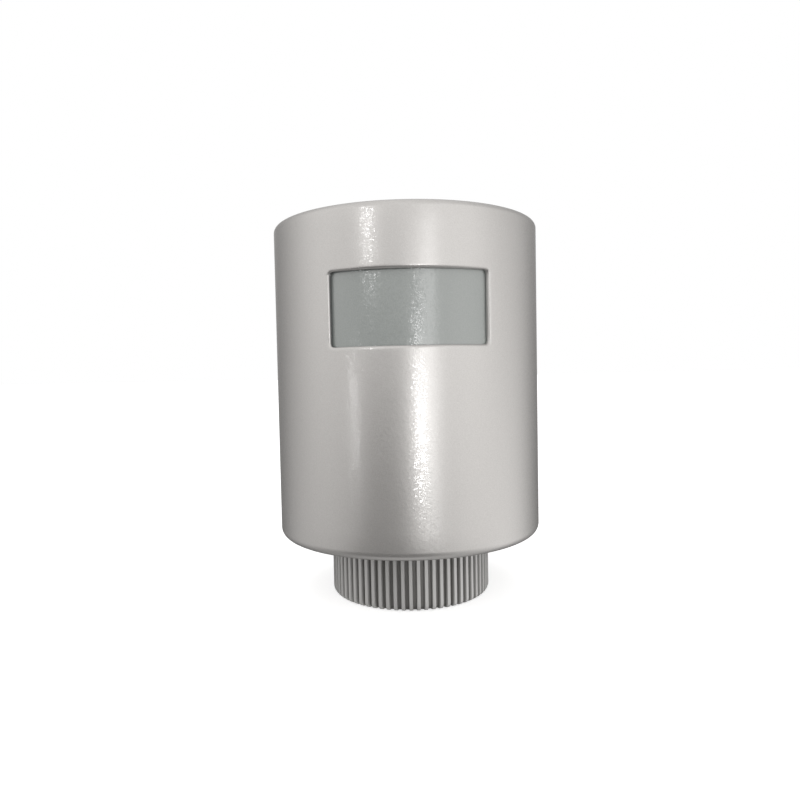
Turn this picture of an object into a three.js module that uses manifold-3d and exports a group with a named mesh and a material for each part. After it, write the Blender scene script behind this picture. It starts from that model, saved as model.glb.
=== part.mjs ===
// Battery-powered motorised actuator head for a radiator valve, in millimetres, +Z up.
// The origin is the centre of the union nut's bottom face, and the display looks along -Y.
import * as THREE from 'three';
import { mergeVertices } from 'three/addons/utils/BufferGeometryUtils.js';
import Module from 'manifold-3d';

const wasm = await Module();
wasm.setup();

// ---- Driving dimensions ----
const CLEARANCE = 0.3;              // gap between pieces that rest on each other
const ROUND_STEPS = 64;             // facets round the body
const MIDDLE_STEPS = 32;            // facets round the neck, the cells and the inner discs
const SMALL_STEPS = 20;             // facets round bosses and hubs
const SCREW_STEPS = 8;              // facets round screws and axles

const BODY_RADIUS = 28;
const BODY_BOTTOM = 13;
const BODY_TOP = 78;
const SHELL_WALL = 2.2;
const SHELL_ROOF = 2.4;
const TOP_ROUNDING = 1.2;
const BOTTOM_ROUNDING = 1.8;

const WINDOW_HALF_ANGLE = 31.6;     // degrees each side of the front
const WINDOW_BOTTOM = 52.1;
const WINDOW_TOP = 66;
const WINDOW_RECESS = 1;            // lens face below the shell's outside
const LENS_THICKNESS = 1.1;
const LENS_OVERLAP = 1.8;           // ledge of shell in front of the lens edge
const LENS_OVERLAP_ANGLE = 2.9;
const LENS_GAP = 0.15;

const NUT_TOP = 12.6;
const NUT_RIBS = 68;
const NUT_RIB_RADIUS = 17.1;
const NUT_GROOVE_RADIUS = 16.4;
const NUT_BORE_RADIUS = 14.2;       // minor diameter of the M30 x 1.5 thread
const NUT_BORE_DEPTH = 9.4;
const NUT_SHOULDER_RADIUS = 12.35;

const NECK_SEAT = 7.2;              // face that presses on the valve body
const NECK_FLANGE_RADIUS = 13.9;
const NECK_FLANGE_TOP = 9.2;
const NECK_RADIUS = 12;
const NECK_BORE_RADIUS = 9.5;
const NECK_TOP_FLANGE_RADIUS = 15.5;

const BASE_RADIUS = 25.5;
const BASE_BOTTOM = 13.2;
const BASE_TOP = 15.2;
const FLOOR_BOTTOM = 15.5;
const FLOOR_TOP = 17;
const FLOOR_RADIUS = 25.2;
const FLOOR_HOLE_RADIUS = 15.8;
const BASE_SCREW_CIRCLE = 20.5;
const DECK_BOTTOM = 70.4;
const DECK_TOP = 71.4;
const DECK_RADIUS = 24.8;
const POST_RADIUS = 1.8;
const POST_PLACES = [[-13.4, -11.8], [13.4, -11.8], [13.5, 19], [-13.5, 19]];

const BATTERY_RADIUS = 7.25;        // AA cell
const BATTERY_BOTTOM = 19;
const BATTERY_LENGTH = 50.5;
const BATTERY_NUB_RADIUS = 2.75;
const BATTERY_NUB_HEIGHT = 1;
const BATTERY_X = 17.6;
const BATTERY_Y = 3;
const TRAY_RADIUS = 8.2;
const TRAY_TOP = 64;

const GEAR_MODULE = 0.5;
const GEAR_ADDENDUM = 0.4;
const GEAR_DEDENDUM = 0.525;
const TOOTH_SHARE = 0.42;           // tooth thickness as a share of the pitch
const PRESSURE_ANGLE = THREE.MathUtils.degToRad(20);
const AXLE_SPACING = 10.5;
const AXLE_RADIUS = 0.75;
const WHEEL_BORE_RADIUS = 0.95;
const WHEEL_THICKNESS = 1.6;
const FRONT_AXIS = [0, 0];          // axis of the push pin
const REAR_AXIS = [0, AXLE_SPACING]; // axis of the motor

const GEARBOX_BOTTOM = 17.3;
const GEARBOX_TOP = 46.7;
const GEARBOX_RADIUS = 10.05;
const GEARBOX_INNER_RADIUS = 8.85;
const GEARBOX_WEB_BOTTOM = 22;      // web that holds the hexagonal guide
const GEARBOX_WEB_TOP = 25;
const GEARBOX_REAR_FLOOR = 33.4;
const COVER_BOTTOM = 47;
const COVER_TOP = 48.5;
const GEARBOX_BOSS_RADIUS = 2.4;
const GEARBOX_BOSS_BOTTOM = 36;
const GEARBOX_SCREW_BOTTOM = 41;
const GEARBOX_SCREW_RADIUS = 0.8;
const REAR_CORE_RADIUS = 4.8;       // hollow that lightens the housing behind the output gear
const REAR_CORE_Y = 14.5;
const GEARBOX_BOSS_PLACES = [[-8, -8.6], [8, -8.6], [8.4, 19.4], [-8.4, 19.4]];

const PIN_TIP = 23.3;               // push pin fully drawn in
const PIN_HEX_FLATS = 9;
const PIN_HEX_BOTTOM = 23.6;
const PIN_HEX_TOP = 29;
const PIN_ROD_RADIUS = 4;
const PIN_ROD_TOP = 37.7;
const HEX_GUIDE_FLATS = 9.4;
const PAD_RADIUS = 3;
const PAD_HEIGHT = 2;
const SEAL_INNER_RADIUS = 5.6;
const SEAL_OUTER_RADIUS = 8.5;

const MOTOR_RADIUS = 10.2;
const MOTOR_FLATS = 15.1;
const MOTOR_BOTTOM = 48.8;
const MOTOR_CAN_TOP = 66;
const MOTOR_TOP = 69.1;
const MOTOR_SHAFT_RADIUS = 1;
const MOTOR_SHAFT_BOTTOM = 44.5;
const MOTOR_ARC_STEPS = 10;
const MOTOR_BOSS_RADIUS = 3;
const PINION_TEETH = 10;
const PINION_BOTTOM = 44.4;
const PINION_TOP = 46.6;

// Compound gears from the output gear up to the motor: pinion teeth, wheel teeth, axis, bottom of the
// pinion, bottom of the wheel.
const GEAR_STAGES = [
  [10, 30, REAR_AXIS, 33.8, 38.3],
  [12, 30, FRONT_AXIS, 38.2, 40.4],
  [12, 30, REAR_AXIS, 40.2, 42.5],
  [12, 32, FRONT_AXIS, 42.3, 44.6],
];
const AXLE_FRONT_BOTTOM = 38.1;
const AXLE_REAR_TOP = 44.1;

const BOARD_HALF_WIDTH = 19;
const BOARD_FRONT = -15.6;
const BOARD_BACK = -14;
const BOARD_BOTTOM = 19;
const BOARD_TOP = 69;
const LCD_FRAME = { low: [-17, -18.8, 49], high: [17, -15.8, 69] };
const LCD_POCKET = { low: [-15.9, -20, 50.2], high: [15.9, -17.5, 67.8] };
const LCD_GLASS = { low: [-15.6, -19.4, 50.5], high: [15.6, -17.7, 67.5] };
const KEY_X = [-13, 0, 13];
const KEY_NAMES = ['minus', 'mode', 'plus'];
const KEY_RADIUS = 5;
const KEY_FLANGE_RADIUS = 6;
const KEY_BOTTOM = 74.8;
const KEY_FLANGE_TOP = 75.3;
const KEY_HOLE_RADIUS = 5.3;
const KEY_BOARD_BOTTOM = 71.9;
const KEY_BOARD_TOP = 72.9;

// ---- Materials ----
const material = (color, roughness, metalness) =>
  new THREE.MeshStandardMaterial({ color, roughness, metalness });
const silverPaint = material(0xc6c1be, 0.4, 0.35);
const greyPlastic = material(0xa3a19e, 0.5, 0.1);
const windowPlastic = material(0x98a09c, 0.2, 0);
const blackPlastic = material(0x2a2b2d, 0.6, 0);
const whitePlastic = material(0xdedcd5, 0.5, 0);
const gearPlastic = material(0xe9e4d6, 0.5, 0);
const steel = material(0xb4b6b8, 0.3, 1);
const brass = material(0xc8a860, 0.35, 1);
const boardGreen = material(0x1f5b38, 0.6, 0);
const glass = material(0x8d978f, 0.15, 0);
const cellWrap = material(0x3d4247, 0.4, 0.3);
const redWire = material(0xb02a24, 0.5, 0);
const rubber = material(0x38393a, 0.8, 0);

// ---- Solids ----
function toSolid(geometry) {
  const bare = geometry.clone();
  bare.deleteAttribute('normal');
  bare.deleteAttribute('uv');
  const merged = mergeVertices(bare, 1e-4);
  return new wasm.Manifold(new wasm.Mesh({
    numProp: 3,
    vertProperties: new Float32Array(merged.attributes.position.array),
    triVerts: new Uint32Array(merged.index.array),
  }));
}

function toGeometry(solid) {
  const mesh = solid.getMesh();
  const geometry = new THREE.BufferGeometry();
  geometry.setAttribute('position', new THREE.BufferAttribute(mesh.vertProperties, 3));
  geometry.setIndex(new THREE.BufferAttribute(mesh.triVerts, 1));
  geometry.computeVertexNormals();
  return geometry;
}

// Turns a closed outline of [radius, height] points, listed counter-clockwise, about Z.
function revolve(outline, steps = ROUND_STEPS, [x, y] = FRONT_AXIS) {
  const onAxis = outline[0][0] === 0;
  const loop = onAxis ? outline : [...outline, outline[0]];
  const geometry = new THREE.LatheGeometry(loop.map(([r, z]) => new THREE.Vector2(r, z)), steps);
  geometry.rotateX(Math.PI / 2);
  geometry.translate(x, y, 0);
  return geometry;
}

const rod = (radius, bottom, top, steps = SMALL_STEPS, place = FRONT_AXIS) =>
  revolve([[0, bottom], [radius, bottom], [radius, top], [0, top]], steps, place);

const ring = (inner, outer, bottom, top, steps = ROUND_STEPS, place = FRONT_AXIS) =>
  revolve([[inner, bottom], [outer, bottom], [outer, top], [inner, top]], steps, place);

function block([x0, y0, z0], [x1, y1, z1]) {
  const geometry = new THREE.BoxGeometry(x1 - x0, y1 - y0, z1 - z0);
  geometry.translate((x0 + x1) / 2, (y0 + y1) / 2, (z0 + z1) / 2);
  return geometry;
}

function prism(points, bottom, top) {
  const shape = new THREE.Shape(points.map(([x, y]) => new THREE.Vector2(x, y)));
  const geometry = new THREE.ExtrudeGeometry(shape, { depth: top - bottom, bevelEnabled: false });
  geometry.translate(0, 0, bottom);
  return geometry;
}

// Adds and cuts solids: first piece, plus the added ones, minus the cut ones.
function join(first, added = [], cut = []) {
  let solid = toSolid(first);
  added.forEach((piece) => { solid = solid.add(toSolid(piece)); });
  cut.forEach((piece) => { solid = solid.subtract(toSolid(piece)); });
  return toGeometry(solid);
}

// Part of a thick tube about Z, centred on the front, with its facets in step with revolve().
function curvedSlab(inner, outer, halfAngle, bottom, top) {
  const step = 360 / ROUND_STEPS;
  const angles = [-halfAngle];
  for (let k = Math.ceil(-halfAngle / step); k * step < halfAngle; k += 1) angles.push(k * step);
  angles.push(halfAngle);
  const at = (radius) => (degrees) => {
    const angle = THREE.MathUtils.degToRad(degrees);
    return [radius * Math.sin(angle), -radius * Math.cos(angle)];
  };
  return prism([...angles.map(at(outer)), ...angles.reverse().map(at(inner))], bottom, top);
}

// Quarter-round corner from one profile point to the next, as points of a polyline.
function corner([centreR, centreZ], radius, startDegrees, steps = 3) {
  return Array.from({ length: steps + 1 }, (_, i) => {
    const angle = THREE.MathUtils.degToRad(startDegrees + (90 * i) / steps);
    return [centreR + radius * Math.cos(angle), centreZ + radius * Math.sin(angle)];
  });
}

function hexagon(flats) {
  const radius = flats / Math.sqrt(3);
  return Array.from({ length: 6 }, (_, i) => {
    const angle = (i * Math.PI) / 3;
    return [radius * Math.cos(angle), radius * Math.sin(angle)];
  });
}

// Outline of the gearbox: two round ends about the two axes, joined by straight sides.
function stadium(radius, steps = 12) {
  const half = (y, start) => Array.from({ length: steps + 1 }, (_, i) => {
    const angle = start + (Math.PI * i) / steps;
    return [radius * Math.cos(angle), y + radius * Math.sin(angle)];
  });
  return [...half(0, Math.PI), ...half(AXLE_SPACING, 0)];
}

// Involute spur gear about Z, one tooth or one gap centred on the angle `phase`.
function gearOutline(teeth, phase, flankRadii) {
  const pitchRadius = (GEAR_MODULE * teeth) / 2;
  const baseRadius = pitchRadius * Math.cos(PRESSURE_ANGLE);
  const involute = (radius) => {
    const angle = Math.acos(Math.min(1, baseRadius / radius));
    return Math.tan(angle) - angle;
  };
  const halfTooth = (radius) =>
    (TOOTH_SHARE * Math.PI) / teeth + involute(pitchRadius) - involute(radius);
  const points = [];
  for (let k = 0; k < teeth; k += 1) {
    const middle = phase + (2 * Math.PI * k) / teeth;
    const rising = flankRadii.map((radius) => [radius, middle - halfTooth(radius)]);
    const falling = [...flankRadii].reverse().map((radius) => [radius, middle + halfTooth(radius)]);
    [...rising, ...falling].forEach(([radius, angle]) => {
      points.push([radius * Math.cos(angle), radius * Math.sin(angle)]);
    });
  }
  return points;
}

// Small wheels get a point at the pitch circle too, because their flanks curve more.
function gear(teeth, [x, y], bottom, top) {
  const onFront = y === FRONT_AXIS[1];
  const phase = onFront ? Math.PI / 2 : -Math.PI / 2 + Math.PI / teeth;
  const pitchRadius = (GEAR_MODULE * teeth) / 2;
  const root = pitchRadius - GEAR_DEDENDUM;
  const tip = pitchRadius + GEAR_ADDENDUM;
  const radii = teeth < 20 ? [root, pitchRadius, tip] : [root, tip];
  const geometry = prism(gearOutline(teeth, phase, radii), bottom, top);
  geometry.translate(x, y, 0);
  return geometry;
}

// Pinion below and wheel above on one hub, turning on a plain axle.
function compoundGear(pinionTeeth, wheelTeeth, axis, bottom, wheelBottom) {
  const top = wheelBottom + WHEEL_THICKNESS;
  return join(
    gear(wheelTeeth, axis, wheelBottom, top),
    [gear(pinionTeeth, axis, bottom, wheelBottom + WHEEL_THICKNESS / 2)],
    [rod(WHEEL_BORE_RADIUS, bottom - 1, top + 1, SCREW_STEPS, axis)],
  );
}

// Pan-head screw pointing down, with a slot across its head.
function screw([x, y], headBottom, headHeight, headRadius, shankRadius, shankBottom) {
  const top = headBottom + headHeight;
  const slotHalf = 0.25;
  const outline = [[0, shankBottom], [shankRadius, shankBottom], [shankRadius, headBottom],
    [headRadius, headBottom], [headRadius, top], [0, top]];
  const slot = block([x - headRadius - 1, y - slotHalf, top - headHeight / 2],
    [x + headRadius + 1, y + slotHalf, top + 1]);
  return join(revolve(outline, SCREW_STEPS, [x, y]), [], [slot]);
}

function wire(points, radius, steps) {
  const curve = new THREE.CatmullRomCurve3(points.map((p) => new THREE.Vector3(...p)));
  const sides = 6;
  const section = new THREE.Shape(Array.from({ length: sides }, (_, i) => {
    const angle = (2 * Math.PI * i) / sides;
    return new THREE.Vector2(radius * Math.cos(angle), radius * Math.sin(angle));
  }));
  return new THREE.ExtrudeGeometry(section, { steps, bevelEnabled: false, extrudePath: curve });
}

// ---- Sub-parts ----
function outerShell() {
  const inner = BODY_RADIUS - SHELL_WALL;
  const roof = BODY_TOP - SHELL_ROOF;
  const lensOuter = BODY_RADIUS - WINDOW_RECESS;
  const cup = revolve([
    [0, roof],
    [inner, roof],
    [inner, BODY_BOTTOM],
    ...corner([BODY_RADIUS - BOTTOM_ROUNDING, BODY_BOTTOM + BOTTOM_ROUNDING], BOTTOM_ROUNDING, -90)
      .map(([r, z]) => [Math.max(r, inner + 0.4), z]),
    ...corner([BODY_RADIUS - TOP_ROUNDING, BODY_TOP - TOP_ROUNDING], TOP_ROUNDING, 0),
    [0, BODY_TOP],
  ]);
  const aperture = curvedSlab(inner - 2, BODY_RADIUS + 2, WINDOW_HALF_ANGLE, WINDOW_BOTTOM, WINDOW_TOP);
  const rabbet = curvedSlab(inner - 2, lensOuter + LENS_GAP, WINDOW_HALF_ANGLE + LENS_OVERLAP_ANGLE,
    WINDOW_BOTTOM - LENS_OVERLAP, WINDOW_TOP + LENS_OVERLAP);
  const keyHoles = KEY_X.map((x) => rod(KEY_HOLE_RADIUS, roof - 1, BODY_TOP + 1, SMALL_STEPS, [x, 0]));
  return join(cup, [], [aperture, rabbet, ...keyHoles]);
}

function displayWindow() {
  const outer = BODY_RADIUS - WINDOW_RECESS;
  const sideGap = 0.3;
  return curvedSlab(outer - LENS_THICKNESS, outer, WINDOW_HALF_ANGLE + LENS_OVERLAP_ANGLE - sideGap,
    WINDOW_BOTTOM - LENS_OVERLAP + LENS_GAP, WINDOW_TOP + LENS_OVERLAP - LENS_GAP);
}

function keyCap(x) {
  const crown = 0.4;
  return revolve([
    [0, KEY_BOTTOM],
    [KEY_FLANGE_RADIUS, KEY_BOTTOM],
    [KEY_FLANGE_RADIUS, KEY_FLANGE_TOP],
    [KEY_RADIUS, KEY_FLANGE_TOP],
    [KEY_RADIUS, BODY_TOP - crown],
    [KEY_RADIUS - crown, BODY_TOP],
    [0, BODY_TOP],
  ], SMALL_STEPS, [x, 0]);
}

function unionNut() {
  const pitch = (2 * Math.PI) / NUT_RIBS;
  const outline = [];
  for (let k = 0; k < NUT_RIBS; k += 1) {
    const middle = -Math.PI / 2 + k * pitch;
    [[NUT_GROOVE_RADIUS, -0.3], [NUT_RIB_RADIUS, -0.2], [NUT_RIB_RADIUS, 0.2], [NUT_GROOVE_RADIUS, 0.3]]
      .forEach(([radius, share]) => {
        const angle = middle + share * pitch;
        outline.push([radius * Math.cos(angle), radius * Math.sin(angle)]);
      });
  }
  const leadIn = 0.9;
  const bore = revolve([
    [0, -1],
    [NUT_BORE_RADIUS + leadIn + 1, -1],
    [NUT_BORE_RADIUS, leadIn],
    [NUT_BORE_RADIUS, NUT_BORE_DEPTH],
    [NUT_SHOULDER_RADIUS, NUT_BORE_DEPTH],
    [NUT_SHOULDER_RADIUS, NUT_TOP + 1],
    [0, NUT_TOP + 1],
  ], MIDDLE_STEPS);
  return join(prism(outline, 0, NUT_TOP), [], [bore]);
}

function valveNeck() {
  return revolve([
    [NECK_BORE_RADIUS, NECK_SEAT],
    [NECK_FLANGE_RADIUS, NECK_SEAT],
    [NECK_FLANGE_RADIUS, NECK_FLANGE_TOP],
    [NECK_RADIUS, NECK_FLANGE_TOP],
    [NECK_RADIUS, FLOOR_BOTTOM],
    [NECK_TOP_FLANGE_RADIUS, FLOOR_BOTTOM],
    [NECK_TOP_FLANGE_RADIUS, FLOOR_TOP],
    [NECK_BORE_RADIUS, FLOOR_TOP],
  ], MIDDLE_STEPS);
}

const baseScrewPlaces = [90, 210, 330].map((degrees) => {
  const angle = THREE.MathUtils.degToRad(degrees);
  return [BASE_SCREW_CIRCLE * Math.cos(angle), BASE_SCREW_CIRCLE * Math.sin(angle)];
});
const BASE_SCREW_HEAD_RADIUS = 2.2;
const BASE_SCREW_HEAD_TOP = 14.5;
const BASE_SCREW_SHANK_RADIUS = 1;

function basePlate() {
  const holes = baseScrewPlaces.flatMap((place) => [
    rod(BASE_SCREW_HEAD_RADIUS + CLEARANCE, BASE_BOTTOM - 1, BASE_SCREW_HEAD_TOP + CLEARANCE / 2,
      SCREW_STEPS, place),
    rod(BASE_SCREW_SHANK_RADIUS + CLEARANCE, BASE_BOTTOM, BASE_TOP + 1, SCREW_STEPS, place),
  ]);
  return join(ring(NECK_RADIUS + CLEARANCE, BASE_RADIUS, BASE_BOTTOM, BASE_TOP), [], holes);
}

// Countersunk-style fixing from below: head down, shank up into the chassis floor.
function baseScrew([x, y]) {
  const headBottom = BASE_BOTTOM + 0.2;
  const outline = [[0, headBottom], [BASE_SCREW_HEAD_RADIUS, headBottom],
    [BASE_SCREW_HEAD_RADIUS, BASE_SCREW_HEAD_TOP], [BASE_SCREW_SHANK_RADIUS, BASE_SCREW_HEAD_TOP],
    [BASE_SCREW_SHANK_RADIUS, FLOOR_TOP - 0.2], [0, FLOOR_TOP - 0.2]];
  const slot = block([x - 1.6, y - 0.25, headBottom - 1], [x + 1.6, y + 0.25, headBottom + 0.6]);
  return join(revolve(outline, SCREW_STEPS, [x, y]), [], [slot]);
}

const DECK_SCREW_RADIUS = 0.8;
const DECK_SCREW_DEPTH = 6;

function chassis() {
  const postTop = DECK_BOTTOM - CLEARANCE;
  const posts = POST_PLACES.map((place) => rod(POST_RADIUS, FLOOR_BOTTOM, postTop, SCREW_STEPS, place));
  const postBores = POST_PLACES.map((place) => rod(DECK_SCREW_RADIUS + 0.2,
    DECK_BOTTOM - DECK_SCREW_DEPTH - 1, postTop + 1, SCREW_STEPS, place));
  const floorHoles = baseScrewPlaces.map((place) =>
    rod(BASE_SCREW_SHANK_RADIUS + 0.2, FLOOR_BOTTOM - 1, FLOOR_TOP + 1, SCREW_STEPS, place));
  return join(ring(FLOOR_HOLE_RADIUS, FLOOR_RADIUS, FLOOR_BOTTOM, FLOOR_TOP), posts,
    [...postBores, ...floorHoles]);
}

function topDeck() {
  const holes = POST_PLACES.map((place) =>
    rod(DECK_SCREW_RADIUS + CLEARANCE, DECK_BOTTOM - 1, DECK_TOP + 1, SCREW_STEPS, place));
  const ribbonSlot = block([-4.6, -14.4, DECK_BOTTOM - 1], [4.6, -12.6, DECK_TOP + 1]);
  return join(rod(DECK_RADIUS, DECK_BOTTOM, DECK_TOP, ROUND_STEPS), [], [...holes, ribbonSlot]);
}

const deckScrew = (place) =>
  screw(place, DECK_TOP + 0.1, 0.9, 1.6, DECK_SCREW_RADIUS, DECK_BOTTOM - DECK_SCREW_DEPTH);

// Trough that holds a cell, cut off where the gearbox and the shell pass.
function batteryTray(side) {
  const place = [side * BATTERY_X, BATTERY_Y];
  const bottom = FLOOR_TOP + CLEARANCE;
  const floorTop = bottom + 0.6;
  const gearboxSide = GEARBOX_RADIUS + CLEARANCE;
  const inShell = toSolid(rod(FLOOR_RADIUS, bottom - 1, TRAY_TOP + 1, ROUND_STEPS));
  const trough = toSolid(join(
    rod(TRAY_RADIUS, bottom, TRAY_TOP, MIDDLE_STEPS, place),
    [],
    [rod(BATTERY_RADIUS + 0.2, floorTop, TRAY_TOP + 1, MIDDLE_STEPS, place),
      block([-gearboxSide, -30, bottom - 1], [gearboxSide, 30, TRAY_TOP + 1])],
  ));
  return toGeometry(trough.intersect(inShell));
}

// AA cell; `upright` puts the positive nub at the top.
function battery(side, upright) {
  const top = BATTERY_BOTTOM + BATTERY_LENGTH;
  const edge = 0.4;
  const canTop = upright ? top - BATTERY_NUB_HEIGHT : top;
  const canBottom = upright ? BATTERY_BOTTOM : BATTERY_BOTTOM + BATTERY_NUB_HEIGHT;
  const nubBelow = upright ? [[0, canBottom]]
    : [[0, BATTERY_BOTTOM], [BATTERY_NUB_RADIUS, BATTERY_BOTTOM], [BATTERY_NUB_RADIUS, canBottom]];
  const nubAbove = upright ? [[BATTERY_NUB_RADIUS, canTop], [BATTERY_NUB_RADIUS, top], [0, top]]
    : [[0, canTop]];
  return revolve([
    ...nubBelow,
    [BATTERY_RADIUS - edge, canBottom],
    [BATTERY_RADIUS, canBottom + edge],
    [BATTERY_RADIUS, canTop - edge],
    [BATTERY_RADIUS - edge, canTop],
    ...nubAbove,
  ], SMALL_STEPS, [side * BATTERY_X, BATTERY_Y]);
}

// Flattened conical coil under the cell's negative end.
function batterySpring(side) {
  const turns = 2.2;
  const wireRadius = 0.25;
  const bottom = FLOOR_TOP + CLEARANCE + 0.6 + 0.05 + wireRadius;
  const rise = BATTERY_BOTTOM - 0.1 - wireRadius - bottom;
  const points = Array.from({ length: 30 }, (_, i) => {
    const t = i / 29;
    const angle = turns * 2 * Math.PI * t;
    const radius = 5 - 2.6 * t;
    return [side * BATTERY_X + radius * Math.cos(angle), BATTERY_Y + radius * Math.sin(angle),
      bottom + rise * t];
  });
  return wire(points, wireRadius, 36);
}

const batteryContact = (side) =>
  rod(3.4, FLOOR_TOP + CLEARANCE + 0.7, BATTERY_BOTTOM - 0.2, SMALL_STEPS, [side * BATTERY_X, BATTERY_Y]);

function batteryLink() {
  const bottom = BATTERY_BOTTOM + BATTERY_LENGTH + 0.2;
  return block([-21, -1, bottom], [21, 7, DECK_BOTTOM - 0.2]);
}

function gearboxHousing() {
  const frontWell = rod(GEARBOX_INNER_RADIUS, GEARBOX_WEB_TOP, GEARBOX_TOP + 1, MIDDLE_STEPS);
  const skirtWell = rod(GEARBOX_INNER_RADIUS, GEARBOX_BOTTOM - 1, GEARBOX_WEB_BOTTOM, MIDDLE_STEPS);
  const gearRoom = prism(stadium(GEARBOX_INNER_RADIUS), GEARBOX_REAR_FLOOR, GEARBOX_TOP + 1);
  const hexGuide = prism(hexagon(HEX_GUIDE_FLATS), GEARBOX_WEB_BOTTOM - 1, GEARBOX_WEB_TOP + 1);
  const rearCore = rod(REAR_CORE_RADIUS, GEARBOX_BOTTOM - 1, GEARBOX_REAR_FLOOR - 3, SMALL_STEPS,
    [0, REAR_CORE_Y]);
  const axleHole = rod(AXLE_RADIUS + 0.15, GEARBOX_REAR_FLOOR - 2, GEARBOX_REAR_FLOOR + 1, SCREW_STEPS,
    REAR_AXIS);
  const bosses = GEARBOX_BOSS_PLACES.map((place) =>
    rod(GEARBOX_BOSS_RADIUS, GEARBOX_BOSS_BOTTOM, GEARBOX_TOP, SCREW_STEPS, place));
  const bossBores = GEARBOX_BOSS_PLACES.map((place) =>
    rod(GEARBOX_SCREW_RADIUS + 0.2, GEARBOX_BOSS_BOTTOM + 1, GEARBOX_TOP + 1, SCREW_STEPS, place));
  return join(prism(stadium(GEARBOX_RADIUS), GEARBOX_BOTTOM, GEARBOX_TOP), bosses,
    [frontWell, skirtWell, gearRoom, hexGuide, rearCore, axleHole, ...bossBores]);
}

function gearboxCover() {
  const ears = GEARBOX_BOSS_PLACES.map((place) =>
    rod(GEARBOX_BOSS_RADIUS, COVER_BOTTOM, COVER_TOP, SCREW_STEPS, place));
  const screwHoles = GEARBOX_BOSS_PLACES.map((place) =>
    rod(GEARBOX_SCREW_RADIUS + CLEARANCE, COVER_BOTTOM - 1, COVER_TOP + 1, SCREW_STEPS, place));
  const motorHole = rod(MOTOR_BOSS_RADIUS + 0.4, COVER_BOTTOM - 1, COVER_TOP + 1, SMALL_STEPS, REAR_AXIS);
  const axleHole = rod(AXLE_RADIUS + 0.15, COVER_BOTTOM - 1, COVER_TOP + 1, SCREW_STEPS, FRONT_AXIS);
  return join(prism(stadium(GEARBOX_RADIUS), COVER_BOTTOM, COVER_TOP), ears,
    [...screwHoles, motorHole, axleHole]);
}

const gearboxScrew = (place) =>
  screw(place, COVER_TOP + 0.1, 1.1, 1.6, GEARBOX_SCREW_RADIUS, GEARBOX_SCREW_BOTTOM);

const OUTPUT_BOTTOM = 26.2;
const OUTPUT_FLANGE_TOP = 27.8;
const OUTPUT_TEETH_BOTTOM = 34;
const OUTPUT_TOP = 37.9;
const OUTPUT_HUB_RADIUS = 6.6;
const OUTPUT_FLANGE_RADIUS = 8.2;
const OUTPUT_COUNTERBORE_RADIUS = 5.5;
const OUTPUT_TEETH = 32;
const THRUST_BORE_RADIUS = 6.9;
const THRUST_PLATE_RADIUS = 8.6;

// Threaded nut wheel: a flange takes the thrust and the teeth are at the top.
function outputGear() {
  const hub = revolve([
    [0, OUTPUT_BOTTOM],
    [OUTPUT_FLANGE_RADIUS, OUTPUT_BOTTOM],
    [OUTPUT_FLANGE_RADIUS, OUTPUT_FLANGE_TOP],
    [OUTPUT_HUB_RADIUS, OUTPUT_FLANGE_TOP],
    [OUTPUT_HUB_RADIUS, OUTPUT_TEETH_BOTTOM + 1],
    [0, OUTPUT_TEETH_BOTTOM + 1],
  ], SMALL_STEPS);
  const counterbore = rod(OUTPUT_COUNTERBORE_RADIUS, OUTPUT_BOTTOM - 1, PIN_HEX_TOP + CLEARANCE,
    SMALL_STEPS);
  const threadBore = rod(PIN_ROD_RADIUS + 0.25, OUTPUT_BOTTOM, OUTPUT_TOP + 1, SMALL_STEPS);
  return join(gear(OUTPUT_TEETH, FRONT_AXIS, OUTPUT_TEETH_BOTTOM, OUTPUT_TOP), [hub],
    [counterbore, threadBore]);
}

const thrustWasher = () => ring(THRUST_BORE_RADIUS, OUTPUT_FLANGE_RADIUS, OUTPUT_FLANGE_TOP + 0.2,
  OUTPUT_FLANGE_TOP + 0.6, SMALL_STEPS);
const thrustPlate = () => ring(THRUST_BORE_RADIUS, THRUST_PLATE_RADIUS, OUTPUT_FLANGE_TOP + 0.8,
  OUTPUT_FLANGE_TOP + 2.4, SMALL_STEPS);

function pushPin() {
  const hex = prism(hexagon(PIN_HEX_FLATS), PIN_HEX_BOTTOM, PIN_HEX_TOP);
  const threaded = rod(PIN_ROD_RADIUS, PIN_HEX_TOP - 1, PIN_ROD_TOP, SMALL_STEPS);
  const padSeat = rod(PAD_RADIUS + CLEARANCE, PIN_HEX_BOTTOM - 1, PIN_TIP + PAD_HEIGHT + CLEARANCE,
    SMALL_STEPS);
  return join(hex, [threaded], [padSeat]);
}

const pushPinPad = () => rod(PAD_RADIUS, PIN_TIP, PIN_TIP + PAD_HEIGHT, SMALL_STEPS);
const pinSeal = () => ring(SEAL_INNER_RADIUS, SEAL_OUTER_RADIUS, GEARBOX_WEB_BOTTOM - 1,
  GEARBOX_WEB_BOTTOM - 0.2, SMALL_STEPS);

function motorSection(radius, flats) {
  const reach = Math.asin(flats / 2 / radius);
  const arc = (start) => Array.from({ length: MOTOR_ARC_STEPS + 1 }, (_, i) => {
    const angle = start - reach + (2 * reach * i) / MOTOR_ARC_STEPS;
    return [radius * Math.sin(angle), AXLE_SPACING - radius * Math.cos(angle)];
  });
  return [...arc(0), ...arc(Math.PI)];
}

function motorCan() {
  const boss = rod(MOTOR_BOSS_RADIUS, COVER_BOTTOM + 0.4, MOTOR_BOTTOM + 1, SMALL_STEPS, REAR_AXIS);
  const shaftBore = rod(MOTOR_SHAFT_RADIUS + 0.4, COVER_BOTTOM, MOTOR_CAN_TOP + 1, SCREW_STEPS,
    REAR_AXIS);
  return join(prism(motorSection(MOTOR_RADIUS, MOTOR_FLATS), MOTOR_BOTTOM, MOTOR_CAN_TOP),
    [boss], [shaftBore]);
}

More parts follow.
